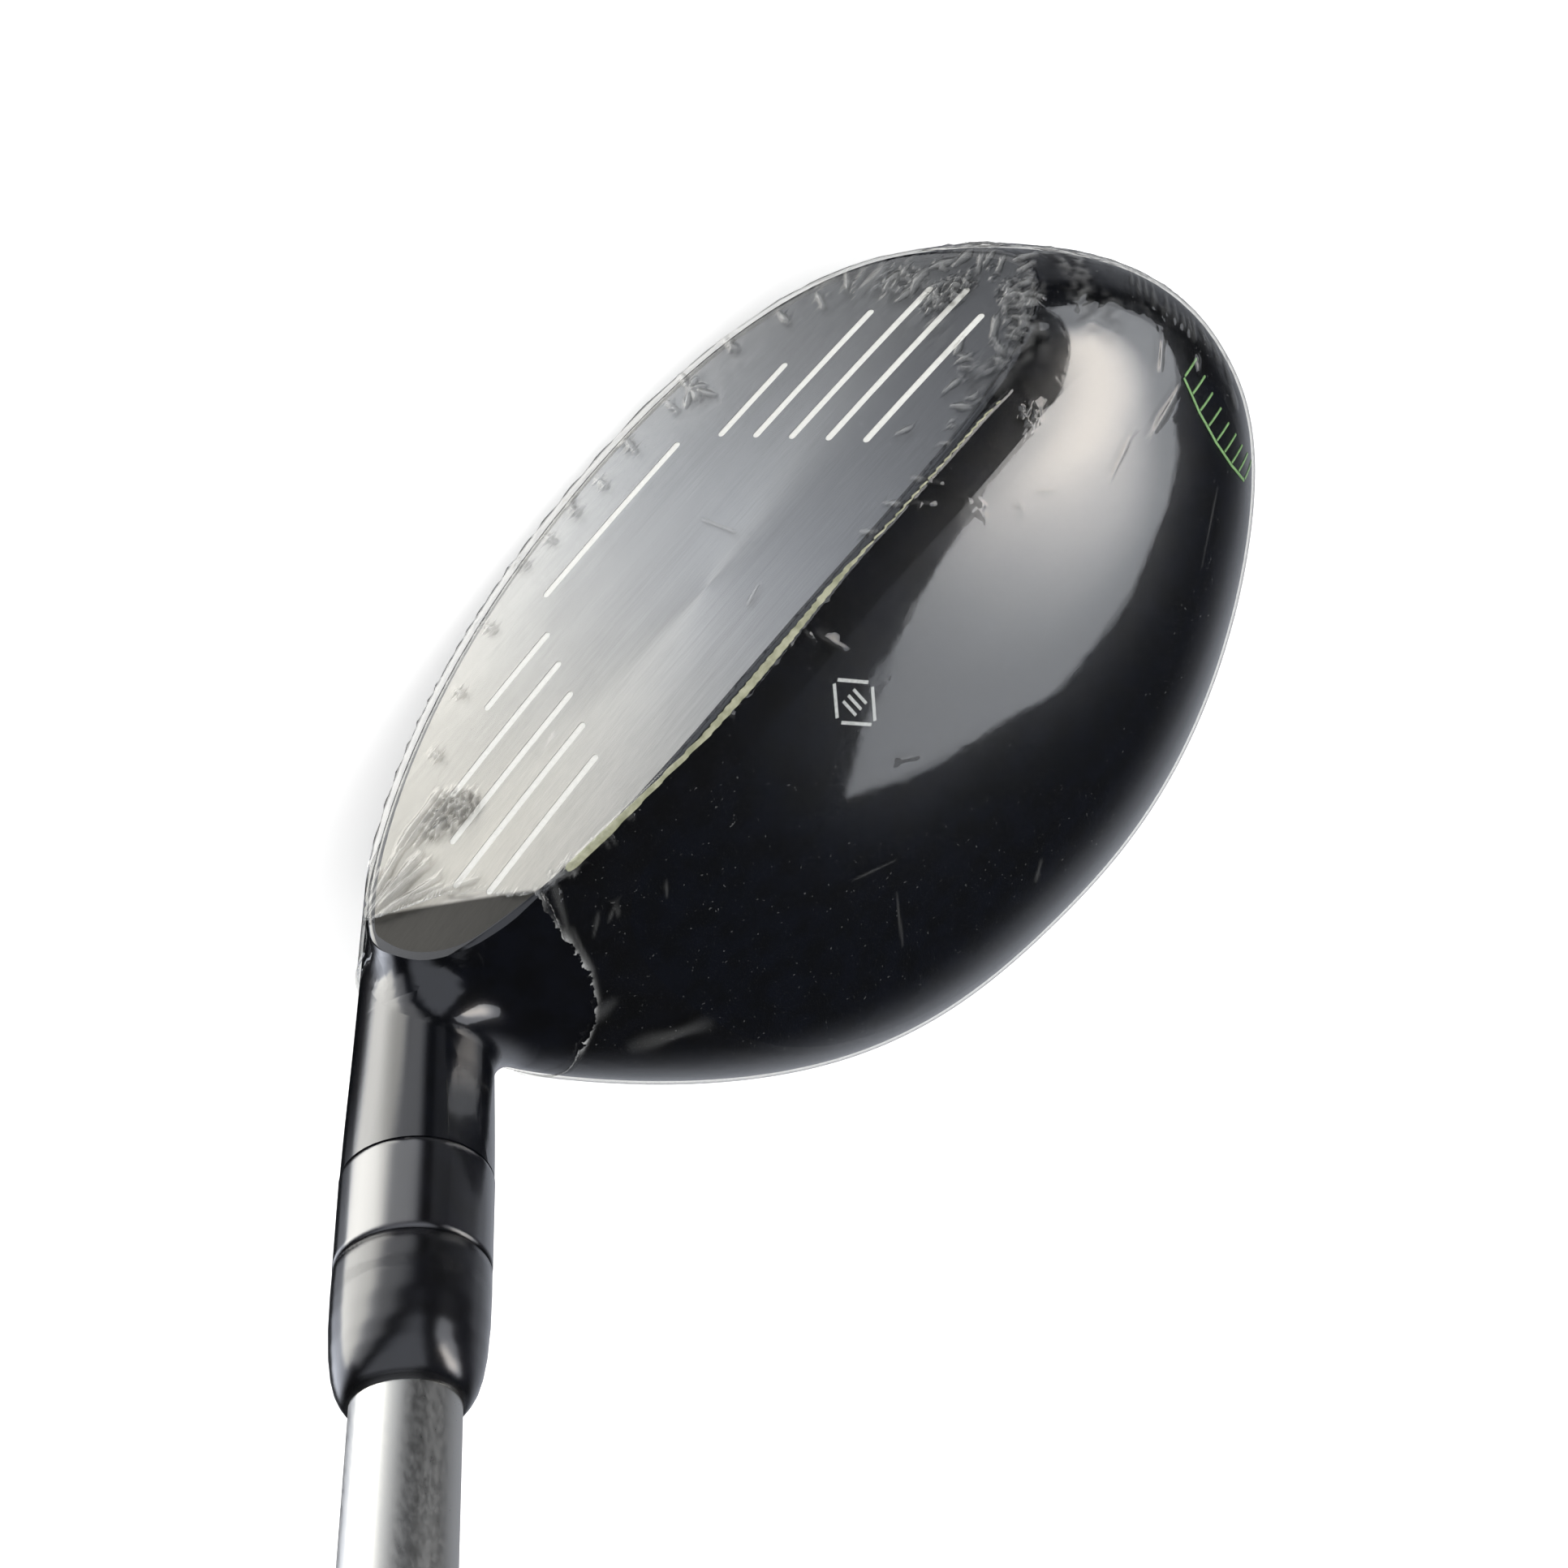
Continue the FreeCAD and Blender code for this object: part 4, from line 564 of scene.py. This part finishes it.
def film_surface():
    bm = bmesh.new()
    bmesh.ops.create_icosphere(bm, subdivisions=7, radius=1.0)
    centre = np.array([8.0, 12.0, 16.5])
    radii = np.array([56.0, 36.0, 17.5])
    for v in bm.verts:
        v.co = Vector((v.co.x * radii[0], v.co.y * radii[1], v.co.z * radii[2]))
    film, head = Caster(["shrink_film"]), Caster(["head_body", "face_plate", "crown_shell"])

    def settle(direction):
        d = direction / np.linalg.norm(direction, axis=1)[:, None]
        far = centre + d * 200.0
        p, n, ok = film.cast(far, -d)
        good = ok & (((p - centre) * d).sum(1) > 0)
        good &= np.where(ok, (n * d).sum(1) > 0.0, False)
        bad = ~good
        if bad.any():
            ph, nh, okh = head.cast(far[bad], -d[bad])
            ph = np.where(okh[:, None], ph + 0.35 * nh, centre + d[bad] * 30.0)
            nh = np.where(okh[:, None], nh, d[bad])
            p[bad], n[bad] = ph, nh
        return p, n, good

    def coords():
        return np.array([v.co[:] for v in bm.verts], float)

    uv_a = view_plane(np.array([w[0:3] for w in WRINKLES], float))
    uv_b = view_plane(np.array([w[3:6] for w in WRINKLES], float))

    def busy(p, n):
        """1 where the film needs a finer mesh"""
        uv = view_plane(p)
        facing = ((CAM - p) * n).sum(1) > 0
        m = np.zeros(len(p), bool)
        for (w, a, b) in zip(WRINKLES, uv_a, uv_b):
            near, _ = seg_dist(uv, a, b)
            m |= near < 0.9 + w[6]
        for c, r, h in PATCHES:
            m |= np.linalg.norm(p - np.array(c), axis=1) < r * 1.3
        line = view_plane(np.array(FOLD_AND_REFLECTION_LINE))
        for a, b in zip(line, line[1:]):
            near, _ = seg_dist(uv, a, b)
            m |= near < 1.2
        s = opening(p)
        return (m & facing) | (np.abs(s) < 1.2)

    for level in (1, 2):
        raw = coords()
        p, n, good = settle(raw)
        b = busy(p, n)
        bm.verts.ensure_lookup_table()
        edges = [e for e in bm.edges if b[e.verts[0].index] and b[e.verts[1].index]]
        bmesh.ops.subdivide_edges(bm, edges=edges, cuts=1, use_grid_fill=True)
        bm.verts.index_update()
    bmesh.ops.triangulate(bm, faces=[f for f in bm.faces if len(f.verts) > 4])
    bm.verts.index_update()
    raw = coords()
    p, n, good = settle(raw)

    # even out the facets, along the normal only
    faces = [tuple(v.index for v in f.verts) for f in bm.faces]
    ea = np.array([(e.verts[0].index, e.verts[1].index) for e in bm.edges])
    cnt = np.bincount(ea.ravel(), minlength=len(p)).astype(float)[:, None]

    def average(q):
        s = np.zeros_like(q)
        np.add.at(s, ea[:, 0], q[ea[:, 1]])
        np.add.at(s, ea[:, 1], q[ea[:, 0]])
        return s / cnt

    for _ in range(6):
        n = average(n)
        n /= np.maximum(np.linalg.norm(n, axis=1), 1e-9)[:, None]
    for k in range(8):
        step = ((average(p) - p) * n).sum(1)
        p = p + n * np.clip(step, -0.02, 0.02)[:, None] * (0.6 if k % 2 == 0 else -0.62)

    uv = view_plane(p)
    facing = smooth01(((CAM - p) * n).sum(1) / np.linalg.norm(CAM - p, axis=1), 0.0, 0.10)
    h = np.zeros(len(p))
    haze = np.zeros(len(p))
    # painted shade: darkens what shows through the film in the hollows between crinkles, in crumpled patches and
    # beside the wrinkles
    painted_crease_shade = np.zeros(len(p))

    # slack: slow waves everywhere
    slack = field(p, 1 / 9.0, 1)
    h += 0.012 * slack
    # tight ripples round the rim, where the film gathers
    rim = smooth01(1 - np.abs(n[:, 2]), 0.35, 0.95)
    toe = smooth01(-p[:, 0], 22.0, 38.0)
    gather = np.abs(field(p * np.array([1.0, 1.0, 0.28]), 1 / 1.5, 3, 1))
    h += rim * (0.03 + 0.10 * toe) * (1 - 2.2 * gather).clip(0, 1)

    # crinkles near the toe end of the face
    front = smooth01(-n[:, 1], 0.15, 0.6)
    zone = front * smooth01(-p[:, 0], 17.0, 27.0)
    zone = np.maximum(zone, 0.75 * front * smooth01(-p[:, 0], 10.0, 22.0) * smooth01(p[:, 2], 22.0, 28.0))
    zone *= smooth01(-p[:, 0] + 0.9 * (22.0 - p[:, 2]), -2.0, 12.0) * 0.35 + 0.65
    wob = field(p, 1 / 1.7, 5)
    ridge = (1 - 3.4 * np.abs(wob)).clip(0, 1)
    blotch = smooth01(field(p, 1 / 6.0, 6, 1), -0.12, 0.22)
    h += zone * blotch * (0.22 * ridge ** 1.5)
    haze += 0.42 * zone * blotch * ridge
    # painted shade in the hollows between the crinkles
    painted_crease_shade = np.maximum(painted_crease_shade, 0.50 * zone * blotch * (1 - smooth01(ridge, 0.0, 0.4)))

    # crumpled patches
    for c, r, amp in PATCHES:
        d = np.linalg.norm(p - np.array(c), axis=1)
        m = (1 - smooth01(d, 0.45 * r, r)) * facing
        near = m > 0.001
        if near.any():
            q = np.zeros(len(p))
            q[near] = (1 - 3.0 * np.abs(field(p[near], 1 / (0.28 * r + 0.35), 7 + r))).clip(0, 1)
            h += m * amp * q
            haze += 0.45 * m * q
            # painted shade in the hollows of each crumpled patch
            painted_crease_shade = np.maximum(painted_crease_shade, 0.55 * m * (1 - smooth01(q, 0.02, 0.35)))
    # little blisters
    for c, r, amp in BLISTERS:
        d = np.linalg.norm(p - np.array(c), axis=1) / r
        h += amp * np.sqrt(np.clip(1 - d * d, 0, 1)) * facing
        haze += 0.18 * np.exp(-((d - 1.0) / 0.22) ** 2) * facing

    # drawn wrinkles
    for w, a, b in zip(WRINKLES, uv_a, uv_b):
        d, t = seg_dist(uv, a, b)
        k = np.where(d < 4 * w[6])[0]
        wave = 1 + 0.25 * np.sin(7.0 * t[k] + w[0])
        taper = np.sqrt(np.clip(np.sin(np.pi * (0.06 + 0.88 * t[k])), 0, 1))
        g = np.exp(-(d[k] / (w[6] * wave)) ** 2) * taper * facing[k]
        h[k] = np.maximum(h[k], w[7] * g)
        over_steel = smooth01(-n[k, 1], 0.45, 0.75)
        haze[k] = np.maximum(haze[k], (0.14 + 0.42 * over_steel) * g)
        flank = np.exp(-((d[k] / (w[6] * wave) - 1.4) / 0.5) ** 2) * taper * facing[k]
        # painted shade along the flanks of each wrinkle
        painted_crease_shade[k] = np.maximum(painted_crease_shade[k], 0.36 * flank)

    # folded-over film behind the top line of the face, slightly raised; the cream colour on it is a painted reflection
    # of the bright top-line edge
    topline_painted_reflection = np.zeros(len(p))
    line = view_plane(np.array(FOLD_AND_REFLECTION_LINE))
    n_seg = len(line) - 1
    for i, (a, b) in enumerate(zip(line, line[1:])):
        d, t = seg_dist(uv, a, b)
        s = (i + t) / n_seg
        half = np.where(s < 0.5, 0.36 + 0.08 * np.sin(21 * s), 0.36 - 0.26 * smooth01(s, 0.5, 0.66))
        half = np.where(s > 0.92, half * (1 - smooth01(s, 0.92, 1.0)), half)
        g = (1 - smooth01(d, half * 0.85, half * 1.12)) * facing
        topline_painted_reflection = np.maximum(topline_painted_reflection, g)
        h = np.maximum(h, 0.10 * (1 - smooth01(d, half, half + 0.25)) * facing)

    # the cut edge curls up a little and is ragged over the crown
    s = opening(p)
    rag = smooth01(p[:, 2], 22.0, 28.0) * smooth01(34.0 - p[:, 2], -3.0, 2.0)
    edge = np.exp(-(np.minimum(s, 0.0) / 0.24) ** 2)
    h += 0.22 * edge * (0.5 + 0.8 * rag)
    haze += edge * (0.9 + 0.6 * rag)
    p2 = p + n * np.maximum(h, -0.05)[:, None]

    jag = 0.38 * rag * field(p, 1 / 0.55, 11) + 0.16 * field(p, 1 / 2.2, 12)
    s2 = opening(p2) + jag
    for v, q in zip(bm.verts, p2):
        v.co = Vector(q)
    lay = {k: bm.verts.layers.float.new(k) for k in ("haze", "topline_painted_reflection", "cutd", "painted_crease_shade")}
    for v, a, b, c, q in zip(bm.verts, haze, topline_painted_reflection, s2, painted_crease_shade):
        v[lay["haze"]], v[lay["topline_painted_reflection"]], v[lay["cutd"]], v[lay["painted_crease_shade"]] = float(a), float(b), float(c), float(q)
    ground = 0.10
    hole = np.linalg.norm(np.cross(p2 - WP, WA), axis=1)
    under = n[:, 2] < -0.3
    kill = [v for v, c, z, r, u in zip(bm.verts, s2, p2[:, 2], hole, under)
            if c > 0.0 or z < ground or (u and r < 9.15)]
    bmesh.ops.delete(bm, geom=kill, context="VERTS")
    # drop loose crumbs: keep the largest connected part
    seen, best = set(), []
    for v in bm.verts:
        if v in seen:
            continue
        stack, part = [v], []
        seen.add(v)
        while stack:
            a = stack.pop()
            part.append(a)
            for e in a.link_edges:
                b = e.other_vert(a)
                if b not in seen:
                    seen.add(b)
                    stack.append(b)
        if len(part) > len(best):
            best = part
    keep = set(best)
    bmesh.ops.delete(bm, geom=[v for v in bm.verts if v not in keep], context="VERTS")
    # pull the stair-stepped borders onto their true lines
    for v in bm.verts:
        if not v.is_boundary:
            continue
        q = np.array(v.co)
        r = np.linalg.norm(np.cross(q - WP, WA))
        if q[2] < 1.2 and r > 9.9:
            v.co.z = min(v.co.z, ground + 0.02)
        elif r < 10.4 and q[2] < 6:
            ax = WP + WA * float((q - WP) @ WA)
            v.co = Vector(ax + (q - ax) / max(np.linalg.norm(q - ax), 1e-6) * 9.1)
        else:
            c = v[lay["cutd"]]
            v.co = Vector(q - CUT_N * min(max(c, -0.9), 0.9))
    bmesh.ops.recalc_face_normals(bm, faces=bm.faces)
    out_n = sum((f.normal.dot(f.calc_center_median() - Vector(centre)) > 0) for f in bm.faces)
    if out_n < len(bm.faces) / 2:
        bmesh.ops.reverse_faces(bm, faces=bm.faces)
    for v in bm.verts:
        v.co = v.co * MM
    me = bpy.data.meshes.new("film_skin")
    bm.to_mesh(me)
    bm.free()
    me.polygons.foreach_set("use_smooth", [True] * len(me.polygons))
    return me


def film_material():
    m, t = material("shrink_film")
    hz = t.add("Attribute", attribute_name="haze")
    topline_reflection_attr = t.add("Attribute", attribute_name="topline_painted_reflection")
    p = t.coords()
    fine = t.noise(p, 0.8, 3.0, 0.6)
    specks = t.ramp(t.noise(p, 2.6, 1.0, 0.5), 0.735, 0.76)
    nrm = t.bump(fine, 0.25, 0.010)
    fres = t.add("Fresnel")
    fres.inputs["IOR"].default_value = 1.52
    t.put(fres.inputs["Normal"], nrm)
    clear = t.add("BsdfTransparent")
    # painted shade: the see-through colour of the film is darkened in the creases
    painted_shade_attr = t.add("Attribute", attribute_name="painted_crease_shade")
    t.put(clear.inputs["Color"], t.mix(t.math("MINIMUM", painted_shade_attr.outputs["Fac"], 0.9), rgb(0.985, 0.985, 0.98), rgb(0.42, 0.41, 0.39)))
    gloss = t.add("BsdfGlossy")
    gloss.inputs["Roughness"].default_value = 0.035
    t.put(gloss.inputs["Normal"], nrm)
    a = t.add("MixShader")
    side = t.math("SUBTRACT", 1.0, t.add("NewGeometry").outputs["Backfacing"])
    t.put(a.inputs[0], t.math("MULTIPLY", fres.outputs[0], side))
    t.put(a.inputs[1], clear.outputs[0])
    t.put(a.inputs[2], gloss.outputs[0])
    milk = t.add("BsdfDiffuse")
    milk.inputs["Color"].default_value = (0.86, 0.87, 0.86, 1)
    b = t.add("MixShader")
    amount = t.math("ADD", t.math("MULTIPLY", hz.outputs["Fac"], 0.34), t.math("MULTIPLY", specks, 0.07))
    amount = t.math("ADD", amount, 0.0012)
    t.put(b.inputs[0], t.math("MULTIPLY", t.math("MINIMUM", amount, 0.6), side))
    t.put(b.inputs[1], a.outputs[0])
    t.put(b.inputs[2], milk.outputs[0])
    # painted reflection: a cream colour along the top line, standing in for the bright reflection on the film over the
    # edge
    band = t.principled(Base_Color=t.mix(t.ramp(fine, 0.3, 0.7), rgb(0.30, 0.31, 0.20), rgb(0.50, 0.50, 0.36)),
                        Roughness=0.30, Normal=nrm)
    c = t.add("MixShader")
    t.put(c.inputs[0], t.math("MULTIPLY", t.ramp(topline_reflection_attr.outputs["Fac"], 0.35, 0.65), 0.80))
    t.put(c.inputs[1], b.outputs[0])
    t.put(c.inputs[2], band)
    t.output(c.outputs[0])
    return m


M["film"] = film_material()
skin = film_surface()
skin.materials.append(M["film"])
film_obj = bpy.data.objects.new("film_wrap", skin)
bpy.context.scene.collection.objects.link(film_obj)
thick = film_obj.modifiers.new("thickness", "SOLIDIFY")
thick.thickness = 0.04 * MM
thick.offset = -1.0
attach(film_obj, "head")
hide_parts("shrink_film")


# ---------------------------------------------------------------- moulded rubber grip
def grip_mesh():
    s_cap, length, mouth, butt = 1002.2, 270.0, 8.75, 13.3
    s_grip = 1007.0 - length

    def radius(s):
        t = (s - s_grip) / length
        r = mouth + (butt - mouth) * (0.86 * t + 0.14 * t ** 3)
        lip = s - s_grip
        lip_r = np.interp(lip, [0.0, 0.15, 0.6, 1.4], [7.6, 8.25, 8.62, 8.75])
        return np.where(lip < 1.4, np.minimum(lip_r, r), r)

    na = 168
    s = np.concatenate([s_grip + np.array([0.0, 0.08, 0.15, 0.35, 0.6, 1.0, 1.4]),
                        np.arange(s_grip + 2.0, s_cap - 0.3, 0.55), [s_cap - 0.1]])
    ang = np.linspace(0, 2 * np.pi, na, endpoint=False)
    S, A = np.meshgrid(s, ang, indexing="ij")
    R = radius(S)
    arc = A / (2 * np.pi)
    cut = np.zeros_like(S)
    t = S - s_grip

    def groove(phase, width):
        """1 at whole numbers of phase, falling off over width"""
        d = np.abs(phase - np.round(phase))
        return np.exp(-(d / width) ** 2)

    # diamond fields between plain bands
    fields = ((12.0, 92.0), (98.0, 170.0), (176.0, 256.0))
    for a, b in fields:
        m = smooth01(t, a, a + 1.2) * (1 - smooth01(t, b - 1.2, b))
        pitch = 7.0
        g1 = groove(14 * arc + t / pitch, 0.085)
        g2 = groove(14 * arc - t / pitch, 0.085)
        cut += m * 0.26 * np.maximum(g1, g2)
    # ring grooves beside the fields and near the ends
    for at in (6.0, 8.0, 94.2, 95.8, 172.2, 173.8, 259.0, 261.0):
        cut += 0.30 * np.exp(-((t - at) / 0.55) ** 2)
    cut = np.minimum(cut, 0.34)
    R = R - cut
    outer = (HA + S[..., None] * SA + R[..., None] * (np.cos(A)[..., None] * E1 + np.sin(A)[..., None] * E2)).reshape(-1, 3)
    rings = len(s)
    # bore, a little larger than the tape and shaft inside it
    s_in = np.array([s[-1], s_grip + 6.3, s_grip + 6.3, s_grip])
    r_shaft = lambda q: 4.445 + (7.62 - 4.445) * (q - 60.0) / (1002.0 - 60.0)
    r_in = np.array([r_shaft(s_in[0]) + 0.30, r_shaft(s_in[1]) + 0.30, r_shaft(s_in[2]) + 0.03, r_shaft(s_in[3]) + 0.03])
    S2, A2 = np.meshgrid(s_in, ang, indexing="ij")
    R2 = np.repeat(r_in[:, None], na, 1)
    inner = (HA + S2[..., None] * SA + R2[..., None] * (np.cos(A2)[..., None] * E1 + np.sin(A2)[..., None] * E2)).reshape(-1, 3)
    verts = np.concatenate([outer, inner])
    total = rings + len(s_in)
    faces = []
    for i in range(total):
        j = (i + 1) % total
        for k in range(na):
            l = (k + 1) % na
            faces.append((i * na + k, i * na + l, j * na + l, j * na + k))
    return verts, faces


gv, gf = grip_mesh()
grip_obj = make_object("grip_moulded", gv, gf, M["grip"], "shaft_group", smooth=False)
flip = bmesh.new()
flip.from_mesh(grip_obj.data)
bmesh.ops.recalc_face_normals(flip, faces=flip.faces)
flip.to_mesh(grip_obj.data)
flip.free()
grip_obj.data.polygons.foreach_set("use_smooth", [True] * len(grip_obj.data.polygons))
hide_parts("grip")


# ---------------------------------------------------------------- floor, light, camera
def stage_plane(name, corners, mat):
    me = bpy.data.meshes.new(name)
    me.from_pydata([tuple(c) for c in corners], [], [tuple(range(len(corners)))])
    me.materials.append(mat)
    o = bpy.data.objects.new(name, me)
    bpy.context.scene.collection.objects.link(o)
    return o


floor_mat, t = material("floor_white")
n_ = t.noise(t.coords((0.02, 0.02, 0.02)), 1.0, 3.0)
t.output(t.principled(Base_Color=t.mix(n_, rgb(0.97, 0.97, 0.97), rgb(0.98, 0.98, 0.98)), Roughness=0.85,
                      Specular_IOR_Level=0.1, Emission_Color=rgb(1.0, 1.0, 1.0), Emission_Strength=0.42))
floor = stage_plane("floor", [(-6, -6, 0), (6, -6, 0), (6, 6, 0), (-6, 6, 0)], floor_mat)
floor.visible_glossy = False


def glow(name, color, strength, corners, core=None):
    """soft box seen only in reflections; core = (point a, point b, radius, colour, strength) is a brighter streak"""
    m, t = material(name)
    col = None
    em = t.add("Emission")
    geo = t.add("NewGeometry")
    if core:
        a, b, r, c2, s2 = core
        a, b = Vector(a), Vector(b)
        rel = t.vec("SUBTRACT", geo.outputs["Position"], tuple(a))
        ab = b - a
        u = t.math("DIVIDE", t.vec("DOT_PRODUCT", rel, tuple(ab)), ab.length_squared, clamp=True)
        foot = t.vec("SCALE", tuple(ab), scale=u)
        d = t.vec("DISTANCE", rel, foot)
        g = t.ramp(d, 0.0, r, 1.0, 0.0)
        t.put(em.inputs["Color"], t.mix(g, rgb(*color), rgb(*c2)))
        t.put(em.inputs["Strength"], t.math("ADD", strength, t.math("MULTIPLY", g, s2 - strength)))
    else:
        em.inputs["Color"].default_value = rgb(*color)
        em.inputs["Strength"].default_value = strength
    o = t.add("OutputMaterial")
    t.put(o.inputs["Surface"], em.outputs[0])
    ob = stage_plane(name, corners, m)
    ob.visible_camera = ob.visible_diffuse = ob.visible_transmission = ob.visible_volume_scatter = ob.visible_shadow = False
    return ob


OFF = np.array([12.3, -1.9, 0.0])


def at(x, y, z=600.0):
    return tuple((np.array([x, y, z]) + OFF) * MM)


window = glow("window_box", (0.86, 0.89, 0.95), 2.1,
              [at(-53, 515), at(-115, 594), at(-202, 677), at(-354, 700), at(-900, 640), at(-2000, 470), at(-2300, -100),
               at(-1480, -334), at(-261, 232), at(-154, 370)],
              core=(at(-760, 60), at(-400, 350), 0.33, (1.0, 0.94, 0.885), 7.4))

world = bpy.data.worlds.new("studio")
bpy.context.scene.world = world
world.use_nodes = True
t = Tree(world.node_tree)
tc = t.add("TexCoord")
d = tc.outputs["Generated"]
sep = t.add("SeparateXYZ")
t.put(sep.inputs[0], d)
az = t.math("MULTIPLY", t.math("ARCTAN2", sep.outputs[1], sep.outputs[0]), 180 / math.pi)
el = t.math("MULTIPLY", t.math("ARCSINE", sep.outputs[2]), 180 / math.pi)


def patch(az_lo, az_hi, el_lo, el_hi, soft):
    a = t.math("MULTIPLY", t.ramp(az, az_lo - soft, az_lo + soft), t.ramp(az, az_hi - soft, az_hi + soft, 1.0, 0.0))
    b = t.math("MULTIPLY", t.ramp(el, el_lo - soft, el_lo + soft), t.ramp(el, el_hi - soft, el_hi + soft, 1.0, 0.0))
    return t.math("MULTIPLY", a, b)


low_box = t.math("ADD", patch(-127, -38, -64, -29, 5.0), t.math("MULTIPLY", patch(-146, -52, -29, -9, 6.0), 0.40))
low_warm = patch(-104, 12, -60, -26, 12.0)
back = t.math("MULTIPLY", patch(40, 130, -50, 6, 16.0), 0.45)
left_low = t.math("MULTIPLY", patch(128, 181, -60, -2, 6.0), 0.20)
left_low2 = t.math("MULTIPLY", patch(-181, -160, -60, -2, 4.0), 0.14)
front_high = t.math("MULTIPLY", patch(-150, -32, 8, 78, 8.0), 0.85)
base = t.math("ADD", front_high, 0.005)
s = t.math("ADD", t.math("ADD", t.math("MULTIPLY", low_box, 3.0), t.math("MULTIPLY", low_warm, 2.4)),
           t.math("ADD", t.math("ADD", back, base), t.math("ADD", left_low, left_low2)))
lp = t.add("LightPath")
bg_g = t.add("Background")
t.put(bg_g.inputs["Color"], t.mix(low_box, rgb(0.86, 0.90, 1.0), rgb(0.98, 0.97, 0.93)))
t.put(bg_g.inputs["Strength"], s)
bg_d = t.add("Background")
bg_d.inputs["Color"].default_value = rgb(1.0, 1.0, 1.0)
bg_d.inputs["Strength"].default_value = 0.98
mx = t.add("MixShader")
t.put(mx.inputs[0], lp.outputs["Is Glossy Ray"])
t.put(mx.inputs[1], bg_d.outputs[0])
t.put(mx.inputs[2], bg_g.outputs[0])
wo = t.add("OutputWorld")
t.put(wo.inputs["Surface"], mx.outputs[0])

key = bpy.data.lights.new("key", "AREA")
key.energy = 9.0
key.size = 1.6
key_o = bpy.data.objects.new("key", key)
key_o.location = (-0.9, 0.3, 1.9)
key_o.rotation_euler = (Vector((0.05, 0.0, 0.0)) - key_o.location).to_track_quat("-Z", "Y").to_euler()
key_o.visible_glossy = False
bpy.context.scene.collection.objects.link(key_o)

cam_d = bpy.data.cameras.new("camera")
cam_d.lens, cam_d.sensor_width, cam_d.sensor_fit = LENS, 36.0, "HORIZONTAL"
cam_d.clip_start, cam_d.clip_end = 0.005, 50.0
cam = bpy.data.objects.new("camera", cam_d)
bpy.context.scene.collection.objects.link(cam)
mat4 = Matrix([list(r) + [p * MM] for r, p in zip(CAM_R.tolist(), CAM.tolist())] + [[0, 0, 0, 1]])
cam.matrix_world = mat4
bpy.context.scene.camera = cam
bpy.context.scene.view_settings.view_transform = "Standard"
